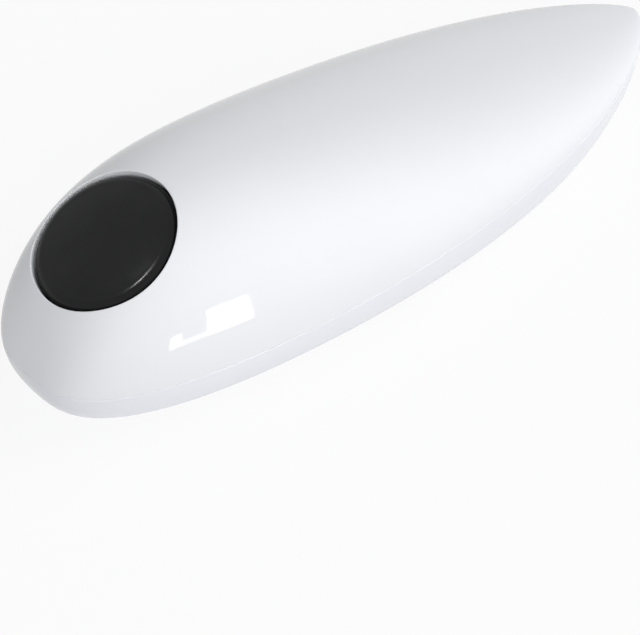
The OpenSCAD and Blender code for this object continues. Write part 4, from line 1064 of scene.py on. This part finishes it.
def addLamp(name, look):
    lamp = bpy.data.lights.new(name, "AREA")
    lamp.shape = "RECTANGLE"
    lamp.size, lamp.size_y = look["size"]
    lamp.energy = look["power"]
    piece = newObject(name, lamp)
    side, up = math.radians(look["side"]), math.radians(look["up"])
    way = Vector((math.cos(side) * math.cos(up), math.sin(side) * math.cos(up), math.sin(up)))
    piece.location = Vector(stageLook["lampAim"]) + way * look["far"]
    piece.rotation_euler = way.to_track_quat("Z", "Y").to_euler()
    piece.visible_glossy = False
    piece.visible_camera = False


glintLooks = {
    # small bright panes in millimetres that show only as reflections in the gloss, glow is their strength
    "windowGlint": dict(spot=(-54.5, -110, 20), size=(24, 39), glow=7),
    "sillGlint": dict(spot=(-75, -110, 5), size=(18, 8), glow=4),
    "frameGlint": dict(spot=(-88, -110, 11), size=(9, 20), glow=7),
    "farGlint": dict(spot=(-205, -102, 23), size=(3, 4), glow=8, aim=(-82, -16, 21)),
    "capGlint": dict(spot=(-158, 47, 257), size=(44, 8), glow=150, aim=(-69, -13.7, 34.3), along=(0.69, 0.73, 0),
                     only="buttonCap"),
}


def addGlint(name, look):
    lamp = bpy.data.lights.new(name, "AREA")
    lamp.shape = "RECTANGLE"
    lamp.size, lamp.size_y = (mm * v for v in look["size"])
    lamp.energy = look["glow"] * math.pi * lamp.size * lamp.size_y
    piece = newObject(name, lamp)
    piece.location = Vector(look["spot"]) * mm
    spot = Vector(look["spot"])
    facing = (spot - Vector(look.get("aim", (spot.x, 0, spot.z)))).normalized()
    side = Vector(look.get("along", (1, 0, 0)))
    side = (side - facing * side.dot(facing)).normalized()
    piece.rotation_euler = Matrix((side, facing.cross(side), facing)).transposed().to_euler()
    if look.get("only"):
        # light that only one piece shows
        group = bpy.data.collections.new(name + "Shows")
        group.objects.link(bpy.data.objects[look["only"]])
        piece.light_linking.receiver_collection = group
    for ray in ("camera", "diffuse", "transmission", "volume_scatter", "shadow"):
        setattr(piece, "visible_" + ray, False)


# angles in degrees, lens and sensor in millimetres, spot in metres
cameraLook = {"yaw": 39.93, "pitch": 42.49, "roll": -1.98, "focal": 92.25, "sensor": 36,
              "spot": (-0.1942, -0.2153, 0.2376)}


def buildCamera():
    look = cameraLook
    yaw, pitch, roll = (math.radians(look[k]) for k in ("yaw", "pitch", "roll"))
    forward = Vector((math.sin(yaw) * math.cos(pitch), math.cos(yaw) * math.cos(pitch), -math.sin(pitch)))
    right = Vector((math.cos(yaw), -math.sin(yaw), 0))
    up = right.cross(forward)
    across = right * math.cos(roll) + up * math.sin(roll)
    above = up * math.cos(roll) - right * math.sin(roll)
    data = bpy.data.cameras.new("camera")
    data.lens = look["focal"]
    data.sensor_width = look["sensor"]
    data.clip_start = 0.01
    camera = newObject("camera", data)
    camera.matrix_world = Matrix((across, above, -forward)).transposed().to_4x4()
    camera.location = look["spot"]
    bpy.context.scene.camera = camera


buildFloor()
buildWorld()
for lampName, lampLook in lampLooks.items():
    addLamp(lampName, lampLook)
for glintName, glintLook in glintLooks.items():
    addGlint(glintName, glintLook)
buildCamera()

view = bpy.context.scene.view_settings
view.view_transform = "Standard"
print("stage, light and camera set")
